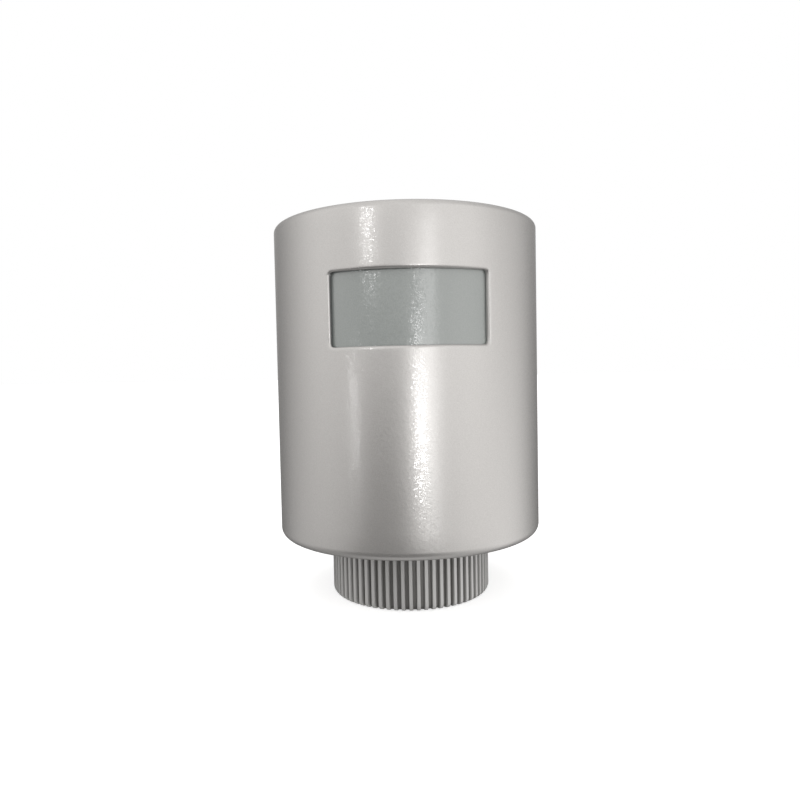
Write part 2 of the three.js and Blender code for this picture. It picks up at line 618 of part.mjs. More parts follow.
function motorEndCap() {
  const shaftBore = rod(MOTOR_SHAFT_RADIUS + 0.4, MOTOR_CAN_TOP, MOTOR_TOP + 1, SCREW_STEPS, REAR_AXIS);
  return join(prism(motorSection(MOTOR_RADIUS - 0.6, MOTOR_FLATS - 0.8), MOTOR_CAN_TOP + 0.2,
    MOTOR_TOP), [], [shaftBore]);
}

const motorShaft = () => rod(MOTOR_SHAFT_RADIUS, MOTOR_SHAFT_BOTTOM, MOTOR_TOP + 0.2, SCREW_STEPS,
  REAR_AXIS);

function motorPinion() {
  return join(gear(PINION_TEETH, REAR_AXIS, PINION_BOTTOM, PINION_TOP), [],
    [rod(MOTOR_SHAFT_RADIUS + 0.15, PINION_BOTTOM - 1, PINION_TOP + 1, SCREW_STEPS, REAR_AXIS)]);
}

function motorLead(side) {
  return wire([
    [side * 2.6, 0.6, 67.6],
    [side * 2.8, -2.5, 66.6],
    [side * 3.4, -7, 61],
    [side * 3.6, -11, 57],
    [side * 3.6, -13.6, 56],
  ], 0.55, 12);
}

function lcdFrame() {
  return join(block(LCD_FRAME.low, LCD_FRAME.high), [], [block(LCD_POCKET.low, LCD_POCKET.high)]);
}

const lcdGlass = () => block(LCD_GLASS.low, LCD_GLASS.high);
const mainBoard = () => block([-BOARD_HALF_WIDTH, BOARD_FRONT, BOARD_BOTTOM],
  [BOARD_HALF_WIDTH, BOARD_BACK, BOARD_TOP]);
const onBoard = (x0, x1, z0, z1, height) =>
  block([x0, BOARD_FRONT - 0.1 - height, z0], [x1, BOARD_FRONT - 0.1, z1]);
const keyBoard = () => block([-18.5, -7, KEY_BOARD_BOTTOM], [18.5, 7, KEY_BOARD_TOP]);

function tactSwitch(x) {
  const bodyTop = KEY_BOARD_TOP + 0.8;
  return join(block([x - 2.3, -2.3, KEY_BOARD_TOP + 0.1], [x + 2.3, 2.3, bodyTop]),
    [rod(1.4, bodyTop - 0.2, bodyTop + 0.4, SCREW_STEPS, [x, 0])]);
}

// Flat ribbon from the back of the main board, up through the deck to the key board.
function ribbonCable() {
  const path = [[-13.7, 60], [-13.5, 60], [-13.5, 71.55], [-6, 71.55], [-6, 71.7], [-13.7, 71.7]];
  const geometry = prism(path, -4, 4);
  geometry.rotateY(Math.PI / 2);
  geometry.rotateX(Math.PI / 2);
  return geometry;
}

// ---- Assembly ----
const assembly = new THREE.Group();

function place(name, geometry, look) {
  const mesh = new THREE.Mesh(geometry, look);
  mesh.name = name;
  assembly.add(mesh);
}

place('outer_shell', outerShell(), silverPaint);
place('display_window', displayWindow(), windowPlastic);
KEY_X.forEach((x, i) => place(`key_${KEY_NAMES[i]}`, keyCap(x), greyPlastic));
place('union_nut', unionNut(), greyPlastic);
place('valve_neck', valveNeck(), steel);
place('base_plate', basePlate(), greyPlastic);
baseScrewPlaces.forEach((spot, i) => place(`base_screw_${i + 1}`, baseScrew(spot), steel));
place('chassis', chassis(), whitePlastic);
place('top_deck', topDeck(), whitePlastic);
POST_PLACES.forEach((spot, i) => place(`deck_screw_${i + 1}`, deckScrew(spot), steel));

place('battery_tray_left', batteryTray(-1), whitePlastic);
place('battery_tray_right', batteryTray(1), whitePlastic);
place('battery_left', battery(-1, true), cellWrap);
place('battery_right', battery(1, false), cellWrap);
place('battery_spring', batterySpring(-1), steel);
place('battery_contact', batteryContact(1), steel);
place('battery_link', batteryLink(), steel);

place('gearbox_housing', gearboxHousing(), blackPlastic);
place('gearbox_cover', gearboxCover(), blackPlastic);
GEARBOX_BOSS_PLACES.forEach((spot, i) => place(`gearbox_screw_${i + 1}`, gearboxScrew(spot), steel));
place('output_gear', outputGear(), gearPlastic);
place('thrust_washer', thrustWasher(), steel);
place('thrust_plate', thrustPlate(), steel);
GEAR_STAGES.forEach((stage, i) => place(`gear_stage_${i + 1}`, compoundGear(...stage), gearPlastic));
place('axle_front', rod(AXLE_RADIUS, AXLE_FRONT_BOTTOM, COVER_TOP, SCREW_STEPS, FRONT_AXIS), steel);
place('axle_rear', rod(AXLE_RADIUS, GEARBOX_REAR_FLOOR - 1.8, AXLE_REAR_TOP, SCREW_STEPS, REAR_AXIS),
  steel);
place('motor_can', motorCan(), steel);
place('motor_end_cap', motorEndCap(), blackPlastic);
place('motor_shaft', motorShaft(), steel);
place('motor_pinion', motorPinion(), brass);
place('motor_lead_red', motorLead(1), redWire);
place('motor_lead_black', motorLead(-1), blackPlastic);
place('push_pin', pushPin(), gearPlastic);
place('push_pin_pad', pushPinPad(), steel);
place('pin_seal', pinSeal(), rubber);

place('main_pcb', mainBoard(), boardGreen);
place('lcd_frame', lcdFrame(), whitePlastic);
place('lcd_glass', lcdGlass(), glass);
place('radio_module', onBoard(-14, 2, 25, 41, 1.8), steel);
place('microcontroller', onBoard(6, 13, 30, 37, 1), blackPlastic);
place('temperature_sensor', onBoard(14, 17, 21, 24, 1), blackPlastic);
place('key_pcb', keyBoard(), boardGreen);
KEY_X.forEach((x, i) => place(`tact_switch_${i + 1}`, tactSwitch(x), blackPlastic));
place('flex_cable', ribbonCable(), brass);

export default assembly;
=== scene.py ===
from math import acos, asin, copysign, cos, degrees, hypot, pi, radians, sin, sqrt, tan

import bmesh
import bpy
import numpy as np
from mathutils import Matrix, Vector


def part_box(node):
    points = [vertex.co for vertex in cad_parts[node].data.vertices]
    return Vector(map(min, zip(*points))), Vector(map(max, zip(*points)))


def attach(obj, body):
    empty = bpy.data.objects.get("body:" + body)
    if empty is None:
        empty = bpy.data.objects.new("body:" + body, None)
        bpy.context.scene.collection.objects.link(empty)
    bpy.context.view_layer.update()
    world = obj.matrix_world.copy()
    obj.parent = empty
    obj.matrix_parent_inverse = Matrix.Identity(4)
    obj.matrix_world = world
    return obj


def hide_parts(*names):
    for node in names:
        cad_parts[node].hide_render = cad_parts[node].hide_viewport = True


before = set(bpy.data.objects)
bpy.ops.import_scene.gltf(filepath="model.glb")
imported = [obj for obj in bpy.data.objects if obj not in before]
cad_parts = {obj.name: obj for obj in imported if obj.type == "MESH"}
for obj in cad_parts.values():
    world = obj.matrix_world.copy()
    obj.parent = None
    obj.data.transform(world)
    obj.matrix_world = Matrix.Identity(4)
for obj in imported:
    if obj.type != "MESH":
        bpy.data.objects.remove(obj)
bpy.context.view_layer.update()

# Motorised radiator valve head. Sizes are in millimetres and meshes in metres. Azimuths are in
# degrees from the front (-Y), positive towards +X.
MM = 0.001

CHASSIS = "chassis_body"
SHELL = "shell_body"
NUT = "nut_body"
PIN = "pin_body"
ROTOR = "rotor_body"


def node_box(node):
    """Lowest and highest corner of a CAD node, in millimetres."""
    low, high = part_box(node)
    return low / MM, high / MM


def node_centre(node):
    """X and Y of the middle of a CAD node, in millimetres."""
    low, high = node_box(node)
    return (low.x + high.x) / 2, (low.y + high.y) / 2


# ---- driving dimensions
shell_low, shell_high = node_box("outer_shell")

BODY_RADIUS = shell_high.x
BODY_BOTTOM = shell_low.z
BODY_TOP = shell_high.z
SHELL_WALL = 2.2
SHELL_ROOF = 2.4
TOP_ROUNDING = 1.2
BOTTOM_ROUNDING = 1.8
INNER_ROUNDING = 0.8
WINDOW_HALF_ANGLE = 31.6
WINDOW_BOTTOM = 52.2
WINDOW_TOP = 65.8
WINDOW_EDGE_ROUNDING = 0.5
WINDOW_CORNER_RADIUS = 0.6
LENS_RADIUS = 27.0
LENS_THICKNESS = 1.1
KEY_X = {"key_minus": -13.0, "key_mode": 0.0, "key_plus": 13.0}
KEY_HOLE_RADIUS = 5.3
KEY_HOLE_ROUNDING = 0.35
NUT_RIB_RADIUS = 17.1
NUT_GROOVE_RADIUS = 16.2

def add_object(name, data):
    """New object in the scene."""
    item = bpy.data.objects.new(name, data)
    bpy.context.scene.collection.objects.link(item)
    return item


# ---- camera
CAMERA_DISTANCE = 145.06
CAMERA_HEIGHT = 47.76
CAMERA_AZIMUTH = -1.45
CAMERA_PITCH = 0.0454                # pitch, yaw and roll are in radians
CAMERA_YAW = -0.0116
CAMERA_ROLL = 0.0200
CAMERA_LENS = 29.64


def add_camera():
    data = bpy.data.cameras.new("camera")
    data.sensor_width = 36
    data.lens = CAMERA_LENS
    data.clip_start = 0.005
    camera = add_object("camera", data)
    turn = Matrix.Rotation
    camera.matrix_world = (turn(radians(CAMERA_AZIMUTH), 4, "Z")
                           @ Matrix.Translation(Vector((0, -CAMERA_DISTANCE, CAMERA_HEIGHT)) * MM)
                           @ turn(-CAMERA_YAW, 4, "Z") @ turn(pi / 2 - CAMERA_PITCH, 4, "X")
                           @ turn(-CAMERA_ROLL, 4, "Z"))
    bpy.context.scene.camera = camera


# ---- outlines
def circle(radius, steps, centre=(0, 0), z=0.0):
    """Points round a circle, counter-clockwise, starting at the front."""
    turns = 2 * pi * np.arange(steps) / steps
    return [(centre[0] + radius * sin(t), centre[1] - radius * cos(t), z) for t in turns]


def on_cylinder(azimuth, radius, z):
    angle = radians(azimuth)
    return (radius * sin(angle), -radius * cos(angle), z)


def quarter(steps, first=0):
    """Points of a rounded edge of radius 1, as (1 - sine, 1 - cosine) from 0 to 90 degrees."""
    turns = [pi / 2 * k / steps for k in range(first, steps + 1)]
    return [(1 - sin(t), 1 - cos(t)) for t in turns]


def fillet(outline, radius, steps):
    """Rounds the corners of a flat outline."""
    points = [Vector(point) for point in outline]
    rounded = []
    for before, here, after in zip(points[-1:] + points, points, points[1:] + points):
        back, on = before - here, after - here
        half = back.angle(on) / 2
        reach = min(radius / tan(half), 0.49 * back.length, 0.49 * on.length)
        bisector = (back.normalized() + on.normalized()).normalized()
        centre = here + bisector * (reach * tan(half) / sin(half))
        first = here + back.normalized() * reach - centre
        sweep = first.angle_signed(here + on.normalized() * reach - centre)
        for k in range(steps + 1):
            rounded.append(tuple(centre + Matrix.Rotation(-sweep * k / steps, 2) @ first))
    return rounded


def rectangle(x0, y0, x1, y1, rounding, steps=5):
    return fillet([(x0, y0), (x1, y0), (x1, y1), (x0, y1)], rounding, steps)


def rectangle_at(x, y, half_x, half_y, rounding):
    return rectangle(x - half_x, y - half_y, x + half_x, y + half_y, rounding)


def cross(long, short):
    """Outline of a plus sign. Each arm is that long and twice short wide."""
    corners = [(long, -short), (long, short), (short, short)]
    for _ in range(3):
        corners += [(-y, x) for x, y in corners[-3:]]
    return corners


def catmull_rom(knots, steps):
    """Smooth curve through the knots."""
    points = [2 * knots[0] - knots[1]] + knots + [2 * knots[-1] - knots[-2]]
    curve = []
    for a, b, c, d in zip(points, points[1:], points[2:], points[3:]):
        for t in (k / steps for k in range(steps)):
            curve.append(0.5 * (2 * b + (c - a) * t + (2 * a - 5 * b + 4 * c - d) * t ** 2
                                + (3 * b - a - 3 * c + d) * t ** 3))
    return curve + [knots[-1]]


# ---- mesh builder
WELD_DISTANCE = 1e-5
ON_AXIS = 1e-6


class Builder:
    """Collects rings, strips and caps of one piece in a bmesh, in millimetres."""

    def __init__(self):
        self.bm = bmesh.new()

    def loop(self, points):
        return [self.bm.verts.new(p) for p in points]

    def face(self, verts):
        unique = list(dict.fromkeys(verts))
        if len(unique) > 2:
            self.bm.faces.new(unique)

    def bridge(self, lower, upper, closed=True):
        """Quads between two loops with the same number of points."""
        count = len(lower)
        for i in range(count if closed else count - 1):
            j = (i + 1) % count
            self.face([lower[i], lower[j], upper[j], upper[i]])

    def skin(self, loops, closed=True):
        """Quads between each loop and the next."""
        for lower, upper in zip(loops, loops[1:]):
            self.bridge(lower, upper, closed)

    def fill(self, *loops):
        """Flat cap between an outer loop and any holes."""
        edges = []
        for loop in loops:
            for i, vert in enumerate(loop):
                other = loop[(i + 1) % len(loop)]
                edges.append(self.bm.edges.get((vert, other)) or self.bm.edges.new((vert, other)))
        bmesh.ops.triangle_fill(self.bm, use_beauty=True, edges=edges)

    def revolve(self, profile, steps=96, centre=(0, 0)):
        """Turns a (radius, z) outline about a vertical axis. It closes on itself or on the axis."""
        loops = []
        for radius, z in profile:
            if radius < ON_AXIS:
                loops.append([self.bm.verts.new((*centre, z))] * steps)
            else:
                loops.append(self.loop(circle(radius, steps, centre, z)))
        on_axis = profile[0][0] < ON_AXIS and profile[-1][0] < ON_AXIS
        self.skin(loops if on_axis else loops + loops[:1])
        return self

    def posts(self, nodes, profile):
        """The same turned post at each of the nodes."""
        for node in nodes:
            self.revolve(profile, 40, node_centre(node))

    def side_loops(self, outline, bottom, top, bevel, steps=3, hole=False):
        """Wall of an extruded outline with rounded rims. Returns its bottom and top loops."""
        low = [(bevel * out, bottom + bevel * rise) for out, rise in quarter(steps)]
        rims = low + [(inset, top + bottom - z) for inset, z in reversed(low)]
        flat = np.array([point[:2] for point in outline], float)
        flat = flat[np.linalg.norm(flat - np.roll(flat, 1, axis=0), axis=1) > 1e-6]
        ahead = np.roll(flat, -1, axis=0)
        area = np.sum(flat[:, 0] * ahead[:, 1] - ahead[:, 0] * flat[:, 1])
        if (area > 0) == hole:
            flat = flat[::-1]
        before = flat - np.roll(flat, 1, axis=0)
        after = np.roll(flat, -1, axis=0) - flat
        before /= np.linalg.norm(before, axis=1)[:, None]
        after /= np.linalg.norm(after, axis=1)[:, None]
        inward = np.stack([-(before + after)[:, 1], (before + after)[:, 0]], axis=1)
        inward /= np.maximum(1e-9, np.linalg.norm(inward, axis=1))[:, None]
        normal = np.stack([-before[:, 1], before[:, 0]], axis=1)
        inward /= np.maximum(0.35, np.sum(inward * normal, axis=1))[:, None]
        loops = [self.loop([(x, y, z) for x, y in flat + inward * inset]) for inset, z in rims]
        self.skin(loops)
        return loops[0], loops[-1]

    def prism(self, outlines, bottom, top, bevel, steps=3):
        """Extrudes flat outlines, the first one outside and the others holes."""
        ends = [self.side_loops(outline, bottom, top, bevel, steps, hole=number > 0)
                for number, outline in enumerate(outlines)]
        for loops in zip(*ends):
            self.fill(*loops)
        return self

    def sweep(self, path, radius, sides):
        """Round tube along a list of points, with flat ends."""
        points = [Vector(p) for p in path]
        normal = (points[1] - points[0]).orthogonal().normalized()
        turns = [2 * pi * k / sides for k in range(sides)]
        loops = []
        for i, point in enumerate(points):
            along = (points[min(i + 1, len(points) - 1)] - points[max(i - 1, 0)]).normalized()
            normal = (normal - along * normal.dot(along)).normalized()
            side = along.cross(normal)
            loops.append(self.loop([point + radius * (cos(t) * normal + sin(t) * side)
                                    for t in turns]))
        self.skin(loops)
        for loop, point in ((loops[0], points[0]), (loops[-1], points[-1])):
            self.bridge(loop, [self.bm.verts.new(point)] * sides)
        return self

    def thread_ring(self, z, phase, minor, major, steps, depth):
        """Ring of a helical thread. depth turns a height on the flank, 0 to 1, into a share."""
        points = []
        for k in range(steps):
            flank = 1 - abs(2 * ((phase - k / steps) % 1.0) - 1)
            points.append(on_cylinder(360 * k / steps, minor + (major - minor) * depth(flank), z))
        return self.loop(points)

    def object(self, name, finish, replaces=(), body=CHASSIS, sharp=35, matrix=None):
        """Finishes the piece: outward faces, smooth shading up to the sharp angle, and its body."""
        bm = self.bm
        bmesh.ops.remove_doubles(bm, verts=bm.verts, dist=WELD_DISTANCE)
        if matrix is not None:
            bmesh.ops.transform(bm, matrix=matrix, verts=bm.verts)
        bmesh.ops.scale(bm, vec=(MM, MM, MM), verts=bm.verts)
        bmesh.ops.recalc_face_normals(bm, faces=bm.faces)
        mesh = bpy.data.meshes.new(name)
        bm.to_mesh(mesh)
        bm.free()
        mesh.shade_smooth()
        mesh.set_sharp_from_angle(angle=radians(sharp))
        slot, material = finish
        mesh.materials.append(material)
        piece = add_object(name, mesh)
        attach(piece, body)
        if replaces:
            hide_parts(*replaces)


def plate(name, node, finish, outlines, bevel, steps=3, body=CHASSIS):
    """Flat piece in place of a CAD node, as thick as the node."""
    low, high = node_box(node)
    Builder().prism(outlines, low.z, high.z, bevel, steps).object(name, finish, [node], body)


def turned_part(name, node, finish, inner, outer, y=0.0, edge=0.1, steps=72, body=CHASSIS):
    """Plain ring or rod in place of a CAD node. inner is 0 for a rod."""
    low, high = node_box(node)
    if inner > 0:
        profile = rectangle(inner, low.z, outer, high.z, edge, 2)
    else:
        profile = [(0, low.z), (outer - edge, low.z), (outer, low.z + edge),
                   (outer, high.z - edge), (outer - edge, high.z), (0, high.z)]
    Builder().revolve(profile, steps, (0, y)).object(name, finish, [node], body)


# ---- materials
GRAIN_SIZE = 0.24
GRAIN_LEAN = 0.085


def add_node(tree, kind, inputs=None, **settings):
    """New shader node. Each input is a socket to link from, or a value."""
    node = tree.nodes.new("ShaderNode" + kind)
    for key, value in settings.items():
        setattr(node, key, value)
    for key, value in (inputs or {}).items():
        if isinstance(value, bpy.types.NodeSocket):
            tree.links.new(value, node.inputs[key])
        else:
            node.inputs[key].default_value = value
    return node


def calculate(tree, operation, *values):
    """Output of a Math node."""
    return add_node(tree, "Math", dict(enumerate(values)), operation=operation).outputs[0]


class Material:
    """A Principled material with helpers for its nodes. Textures use object coordinates."""

    def __init__(self, name, color, roughness, metallic=0.0, **sockets):
        self.material = bpy.data.materials.new(name)
        self.material.use_nodes = True
        self.tree = self.material.node_tree
        self.shader = self.tree.nodes["Principled BSDF"]
        plain = {"Base_Color": (*color, 1), "Roughness": roughness, "Metallic": metallic}
        for socket, value in (plain | sockets).items():
            self.shader.inputs[socket.replace("_", " ")].default_value = value
        self.coordinates = self.node("TexCoord").outputs["Object"]

    def node(self, kind, inputs=None, **settings):
        return add_node(self.tree, kind, inputs, **settings)

    def connect(self, value, socket):
        self.tree.links.new(value, self.shader.inputs[socket])

    def vector(self, operation, *values):
        """Outputs of a Vector Math node."""
        inputs = dict(enumerate(values))
        return self.node("VectorMath", inputs, operation=operation).outputs

    def noise(self, feature, detail=2.0, stretch=None):
        """Noise with features of that many millimetres. A small stretch draws it out on an axis."""
        place = self.coordinates
        if stretch:
            place = self.node("Mapping", {"Vector": place, "Scale": stretch}).outputs[0]
        return self.node("TexNoise", {"Vector": place, "Detail": detail,
                                                "Scale": 1 / (feature * MM)}).outputs[0]

    def cells(self, feature):
        return self.node("TexVoronoi", {"Vector": self.coordinates,
                                                  "Scale": 1 / (feature * MM)}).outputs

    def ramp(self, value, low, high, from_low=0.0, from_high=1.0):
        return self.node("MapRange", {"Value": value, "From Min": from_low,
                                                "From Max": from_high, "To Min": low,
                                                "To Max": high}).outputs[0]

    def vary_color(self, value, dark, light, from_low=0.3, from_high=0.7):
        ramp = self.node("ValToRGB", {"Fac": value})
        ends = ((from_low, dark), (from_high, light))
        for element, (place, color) in zip(ramp.color_ramp.elements, ends):
            element.position = place
            element.color = (*color, 1)
        self.connect(ramp.outputs[0], "Base Color")
        return ramp.outputs[0]

    def mix_color(self, share, under, over):
        """Base colour that goes from under to over as share goes from 0 to 1."""
        mix = self.node("Mix", {0: share, 6: under, 7: (*over, 1)}, data_type="RGBA")
        self.connect(mix.outputs[2], "Base Color")

    def vary_roughness(self, value, low, high):
        self.connect(self.ramp(value, low, high), "Roughness")

    def bump(self, value, height):
        """Bump of that height in millimetres."""
        return self.node("Bump", {"Height": value, "Distance": height * MM}).outputs[0]

    def grain(self, feature, height, detail=2.0):
        """Fine uneven surface, with features and height in millimetres."""
        self.connect(self.bump(self.noise(feature, detail), height), "Normal")

    def distance_from_axis(self):
        flat = self.vector("MULTIPLY", self.coordinates, (1, 1, 0))[0]
        return self.vector("LENGTH", flat)["Value"]

    def orange_peel(self):
        """Sprayed coat. It leans a random way in each fine grain, so highlights sparkle."""
        smooth = self.bump(self.noise(0.6), 0.012)
        lean = self.vector("SUBTRACT", self.cells(GRAIN_SIZE)["Color"], (0.5, 0.5, 0.5))[0]
        lean = self.vector("MULTIPLY", lean, (GRAIN_LEAN, GRAIN_LEAN, GRAIN_LEAN))[0]
        self.connect(smooth, "Normal")
        leaning = self.vector("ADD", smooth, lean)[0]
        self.connect(self.vector("NORMALIZE", leaning)[0], "Coat Normal")


def body_paint():
    """Satin silver-grey pearl paint under a soft clear coat, with painted shade deep in the
    window's recess, reaching further in on the left.
    """
    m = Material("body_paint", (0.56, 0.545, 0.53), 0.35, 0.65, Coat_Weight=1.0,
                 Coat_Roughness=0.14, Coat_IOR=1.65)
    paint = m.vary_color(m.noise(0.18, 1.0), (0.53, 0.515, 0.50), (0.59, 0.575, 0.56))
    place = m.node("SeparateXYZ", {"Vector": m.coordinates}).outputs
    # Painted shade: the window recess's walls deeper than about 0.6 mm are coloured dark grey in
    # place of the shade that falls in the recess.
    above = m.ramp(place["Z"], 0, 1, (WINDOW_BOTTOM - 1) * MM, (WINDOW_BOTTOM - 0.8) * MM)
    below = m.ramp(place["Z"], 1, 0, (WINDOW_TOP + 0.8) * MM, (WINDOW_TOP + 1) * MM)
    # The painted shade reaches further into the recess on the left side of the window than on the
    # right.
    painted_shade_lean = m.ramp(place["X"], -0.36 * MM, 0.36 * MM, -15 * MM, 15 * MM)
    reach = calculate(m.tree, "ADD", m.distance_from_axis(), painted_shade_lean)
    inside = m.ramp(reach, 1, 0, (BODY_RADIUS - 0.75) * MM, (BODY_RADIUS - 0.55) * MM)
    level = calculate(m.tree, "MULTIPLY", above, below)
    m.mix_color(calculate(m.tree, "MULTIPLY", level, inside), paint, (0.12, 0.12, 0.12))
    m.vary_roughness(m.noise(4.0), 0.32, 0.38)
    m.orange_peel()
    return "body_paint", m.material


def window_plastic():
    """Grey-green tinted window under the same sprayed coat."""
    m = Material("window_plastic", (0.265, 0.285, 0.27), 0.35, 0.0, Coat_Weight=1.0,
                 Coat_Roughness=0.17, Coat_IOR=2.05)
    m.vary_color(m.noise(0.2, 1.0), (0.245, 0.268, 0.257), (0.27, 0.293, 0.28))
    m.orange_peel()
    return "lens", m.material


def nut_plastic():
    """Matte silver-grey moulding of the union nut, with painted shade in its grooves."""
    m = Material("nut_plastic", (0.50, 0.495, 0.485), 0.42, 0.3, Coat_Weight=0.2,
                 Coat_Roughness=0.2)
    # Painted shade: the grooves are coloured far darker than the ribs, in place of the shade that
    # falls between the ribs.
    groove_shade_ramp = m.ramp(m.distance_from_axis(), 0, 1, (NUT_GROOVE_RADIUS - 0.1) * MM,
                   (NUT_RIB_RADIUS - 0.15) * MM)
    m.vary_color(groove_shade_ramp, (0.16, 0.155, 0.148), (0.565, 0.56, 0.55), 0.0, 1.0)
    m.grain(0.25, 0.006)
    return "nut_grey", m.material


def plastic(slot, name, color, roughness, grain=0.22, depth=0.006, **sockets):
    """Moulded plastic: faint colour and gloss changes over a fine spark-eroded grain."""
    m = Material(name, color, roughness, 0.0, **sockets)
    spread = 0.03
    m.vary_color(m.noise(2.5), [c * (1 - spread) for c in color],
                 [min(1.0, c * (1 + spread)) for c in color])
    m.vary_roughness(m.noise(1.7), roughness - 0.05, roughness + 0.05)
    m.grain(grain, depth, 3.0)
    return slot, m.material


def metal(slot, name, color, roughness, stretch=(1, 1, 1), depth=0.004):
    """Bare or plated metal with fine marks."""
    m = Material(name, color, roughness, 1.0)
    marks = m.noise(0.12, 3.0, stretch)
    m.vary_color(m.noise(3.0), [c * 0.93 for c in color], color)
    m.vary_roughness(marks, roughness - 0.07, roughness + 0.1)
    m.connect(m.bump(marks, depth), "Normal")
    return slot, m.material


def cell_wrap(name, band_from, band_to):
    """Glossy dark sleeve of a cell, with a copper-coloured band between two heights."""
    dark = (0.03, 0.032, 0.035)
    m = Material(name, dark, 0.28, 0.0, Coat_Weight=0.6, Coat_Roughness=0.08)
    height = m.node("SeparateXYZ", {"Vector": m.coordinates}).outputs["Z"]
    band = calculate(m.tree, "MULTIPLY", calculate(m.tree, "GREATER_THAN", height, band_from * MM),
                     calculate(m.tree, "LESS_THAN", height, band_to * MM))
    m.mix_color(band, (*dark, 1), (0.55, 0.23, 0.08))
    sleeve = m.bump(m.noise(0.8), 0.01)
    m.connect(sleeve, "Normal")
    m.connect(sleeve, "Coat Normal")
    return "cell_wrap", m.material


def circuit_board(name, mask, copper):
    """Solder mask with lighter copper areas under it and small tinned vias."""
    m = Material(name, mask, 0.35, 0.0, Coat_Weight=0.4, Coat_Roughness=0.15)
    pour = m.node("TexBrick", {
        "Vector": m.coordinates, "Scale": 1.0, "Mortar Size": 0.0002, "Brick Width": 0.0042,
        "Row Height": 0.0016, "Color1": (*mask, 1), "Color2": (*copper, 1),
        "Mortar": (*[c * 0.7 for c in mask], 1)})
    via = m.ramp(m.cells(2.6)["Distance"], 1, 0, 0.09, 0.11)
    m.mix_color(via, pour.outputs[0], (0.55, 0.5, 0.38))
    m.grain(0.5, 0.004)
    return "board_green", m.material


def lcd_glass(name, color):
    """Unpowered liquid crystal panel: flat grey-green under clear glass."""
    m = Material(name, color, 0.12, 0.0, Coat_Weight=1.0, Coat_Roughness=0.03)
    m.vary_color(m.noise(6.0), [c * 0.95 for c in color], color)
    return "lcd_glass", m.material


# Finishes: material slot of the record, and material.
KEY_GREY = plastic("key_grey", "key_plastic", (0.23, 0.228, 0.224), 0.5, 0.3)
KEY_MARK = plastic("key_grey", "key_symbol", (0.75, 0.75, 0.74), 0.5)
BASE_GREY = plastic("base_grey", "base_plastic", (0.30, 0.298, 0.292), 0.55, 0.3, 0.010)
WHITE_PLASTIC = plastic("white_plastic", "frame_plastic", (0.72, 0.71, 0.67), 0.5, 0.3)
BLACK_PLASTIC = plastic("black_plastic", "gearbox_plastic", (0.028, 0.029, 0.031), 0.5, 0.3, 0.010)
CHIP_BLACK = plastic("black_plastic", "chip_resin", (0.02, 0.02, 0.022), 0.45, 0.12, 0.003)
GEAR_PLASTIC = plastic("gear_plastic", "gear_acetal", (0.80, 0.76, 0.66), 0.42, 0.5, 0.004,
                       Subsurface_Weight=0.2, Subsurface_Scale=0.001)
CERAMIC = plastic("brass", "capacitor_ceramic", (0.42, 0.26, 0.14), 0.5, 0.15, 0.003)
WIRE_RED = plastic("wire_red", "wire_red", (0.45, 0.03, 0.025), 0.4, 0.6)
WIRE_BLACK = plastic("black_plastic", "wire_black", (0.025, 0.025, 0.027), 0.4, 0.6)
RUBBER = plastic("seal_rubber", "seal_rubber", (0.035, 0.035, 0.036), 0.75, 0.2, 0.008)
RIBBON = plastic("ribbon_amber", "ribbon_polyimide", (0.55, 0.22, 0.04), 0.3, 0.9, 0.003,
                 Coat_Weight=0.5)
ZINC = metal("zinc", "neck_zinc", (0.62, 0.61, 0.59), 0.34, (1, 1, 0.1), 0.006)
SCREW_STEEL = metal("screw_steel", "screw_steel", (0.50, 0.50, 0.49), 0.30)
BRIGHT_STEEL = metal("screw_steel", "bright_steel", (0.62, 0.62, 0.61), 0.22, (1, 1, 0.05), 0.003)
CONTACT_STEEL = metal("contact_steel", "contact_steel", (0.70, 0.69, 0.66), 0.36, (0.2, 1, 1),
                      0.0008)
MOTOR_STEEL = metal("motor_steel", "motor_steel", (0.60, 0.60, 0.60), 0.32, (1, 1, 0.04), 0.005)
BRASS = metal("brass", "pinion_brass", (0.72, 0.50, 0.20), 0.28, (1, 1, 0.1), 0.003)
CELL_WRAP_UP = cell_wrap("cell_wrap_left", 58.203, 68.359)
CELL_WRAP_DOWN = cell_wrap("cell_wrap_right", 20.703, 30.859)
BOARD_GREEN = circuit_board("board_green", (0.012, 0.10, 0.045), (0.018, 0.14, 0.06))
DARK_BOARD = circuit_board("radio_board", (0.008, 0.03, 0.06), (0.012, 0.04, 0.08))
LCD_GLASS = lcd_glass("lcd_panel", (0.22, 0.25, 0.22))
LCD_FILM = lcd_glass("lcd_film", (0.30, 0.34, 0.28))
PAINT = body_paint()
WINDOW = window_plastic()
NUT_GREY = nut_plastic()


# ---- housing
AZIMUTH_STEPS = 256                  # columns of the housing's mesh
PATCH_COLUMNS = 27                   # columns of the window patch, each side of the front
PATCH_BOTTOM = 48
PATCH_TOP = 70
PATCH_ROWS = PATCH_TOP - PATCH_BOTTOM


def patch_border():
    """Grid points round the window patch, clockwise from the top left corner seen from the front,
    as (side, share along the side, column, row)."""
    wide, high = 2 * PATCH_COLUMNS, PATCH_ROWS
    return ([("top", k / wide, k - PATCH_COLUMNS, high) for k in range(wide)]
            + [("right", k / high, PATCH_COLUMNS, high - k) for k in range(high)]
            + [("bottom", k / wide, PATCH_COLUMNS - k, 0) for k in range(wide)]
            + [("left", k / high, -PATCH_COLUMNS, k) for k in range(high)])


def rounded_frame(half_width, half_height, corner_radius):
    """Arc length and height of a rounded rectangle at each place of patch_border()."""
    points = []
    for side, share, _, _ in patch_border():
        half_side, half_other = ((half_width, half_height) if side in ("top", "bottom")
                                 else (half_height, half_width))
        straight = half_side - corner_radius
        along = (2 * share - 1) * (straight + corner_radius * pi / 4)
        a, b = along, half_other
        if abs(along) > straight:
            turn = (abs(along) - straight) / corner_radius
            a = copysign(straight + corner_radius * sin(turn), along)
            b = half_other - corner_radius * (1 - cos(turn))
        points.append({"top": (a, b), "right": (b, -a), "bottom": (-a, -b), "left": (-b, a)}[side])
    return points


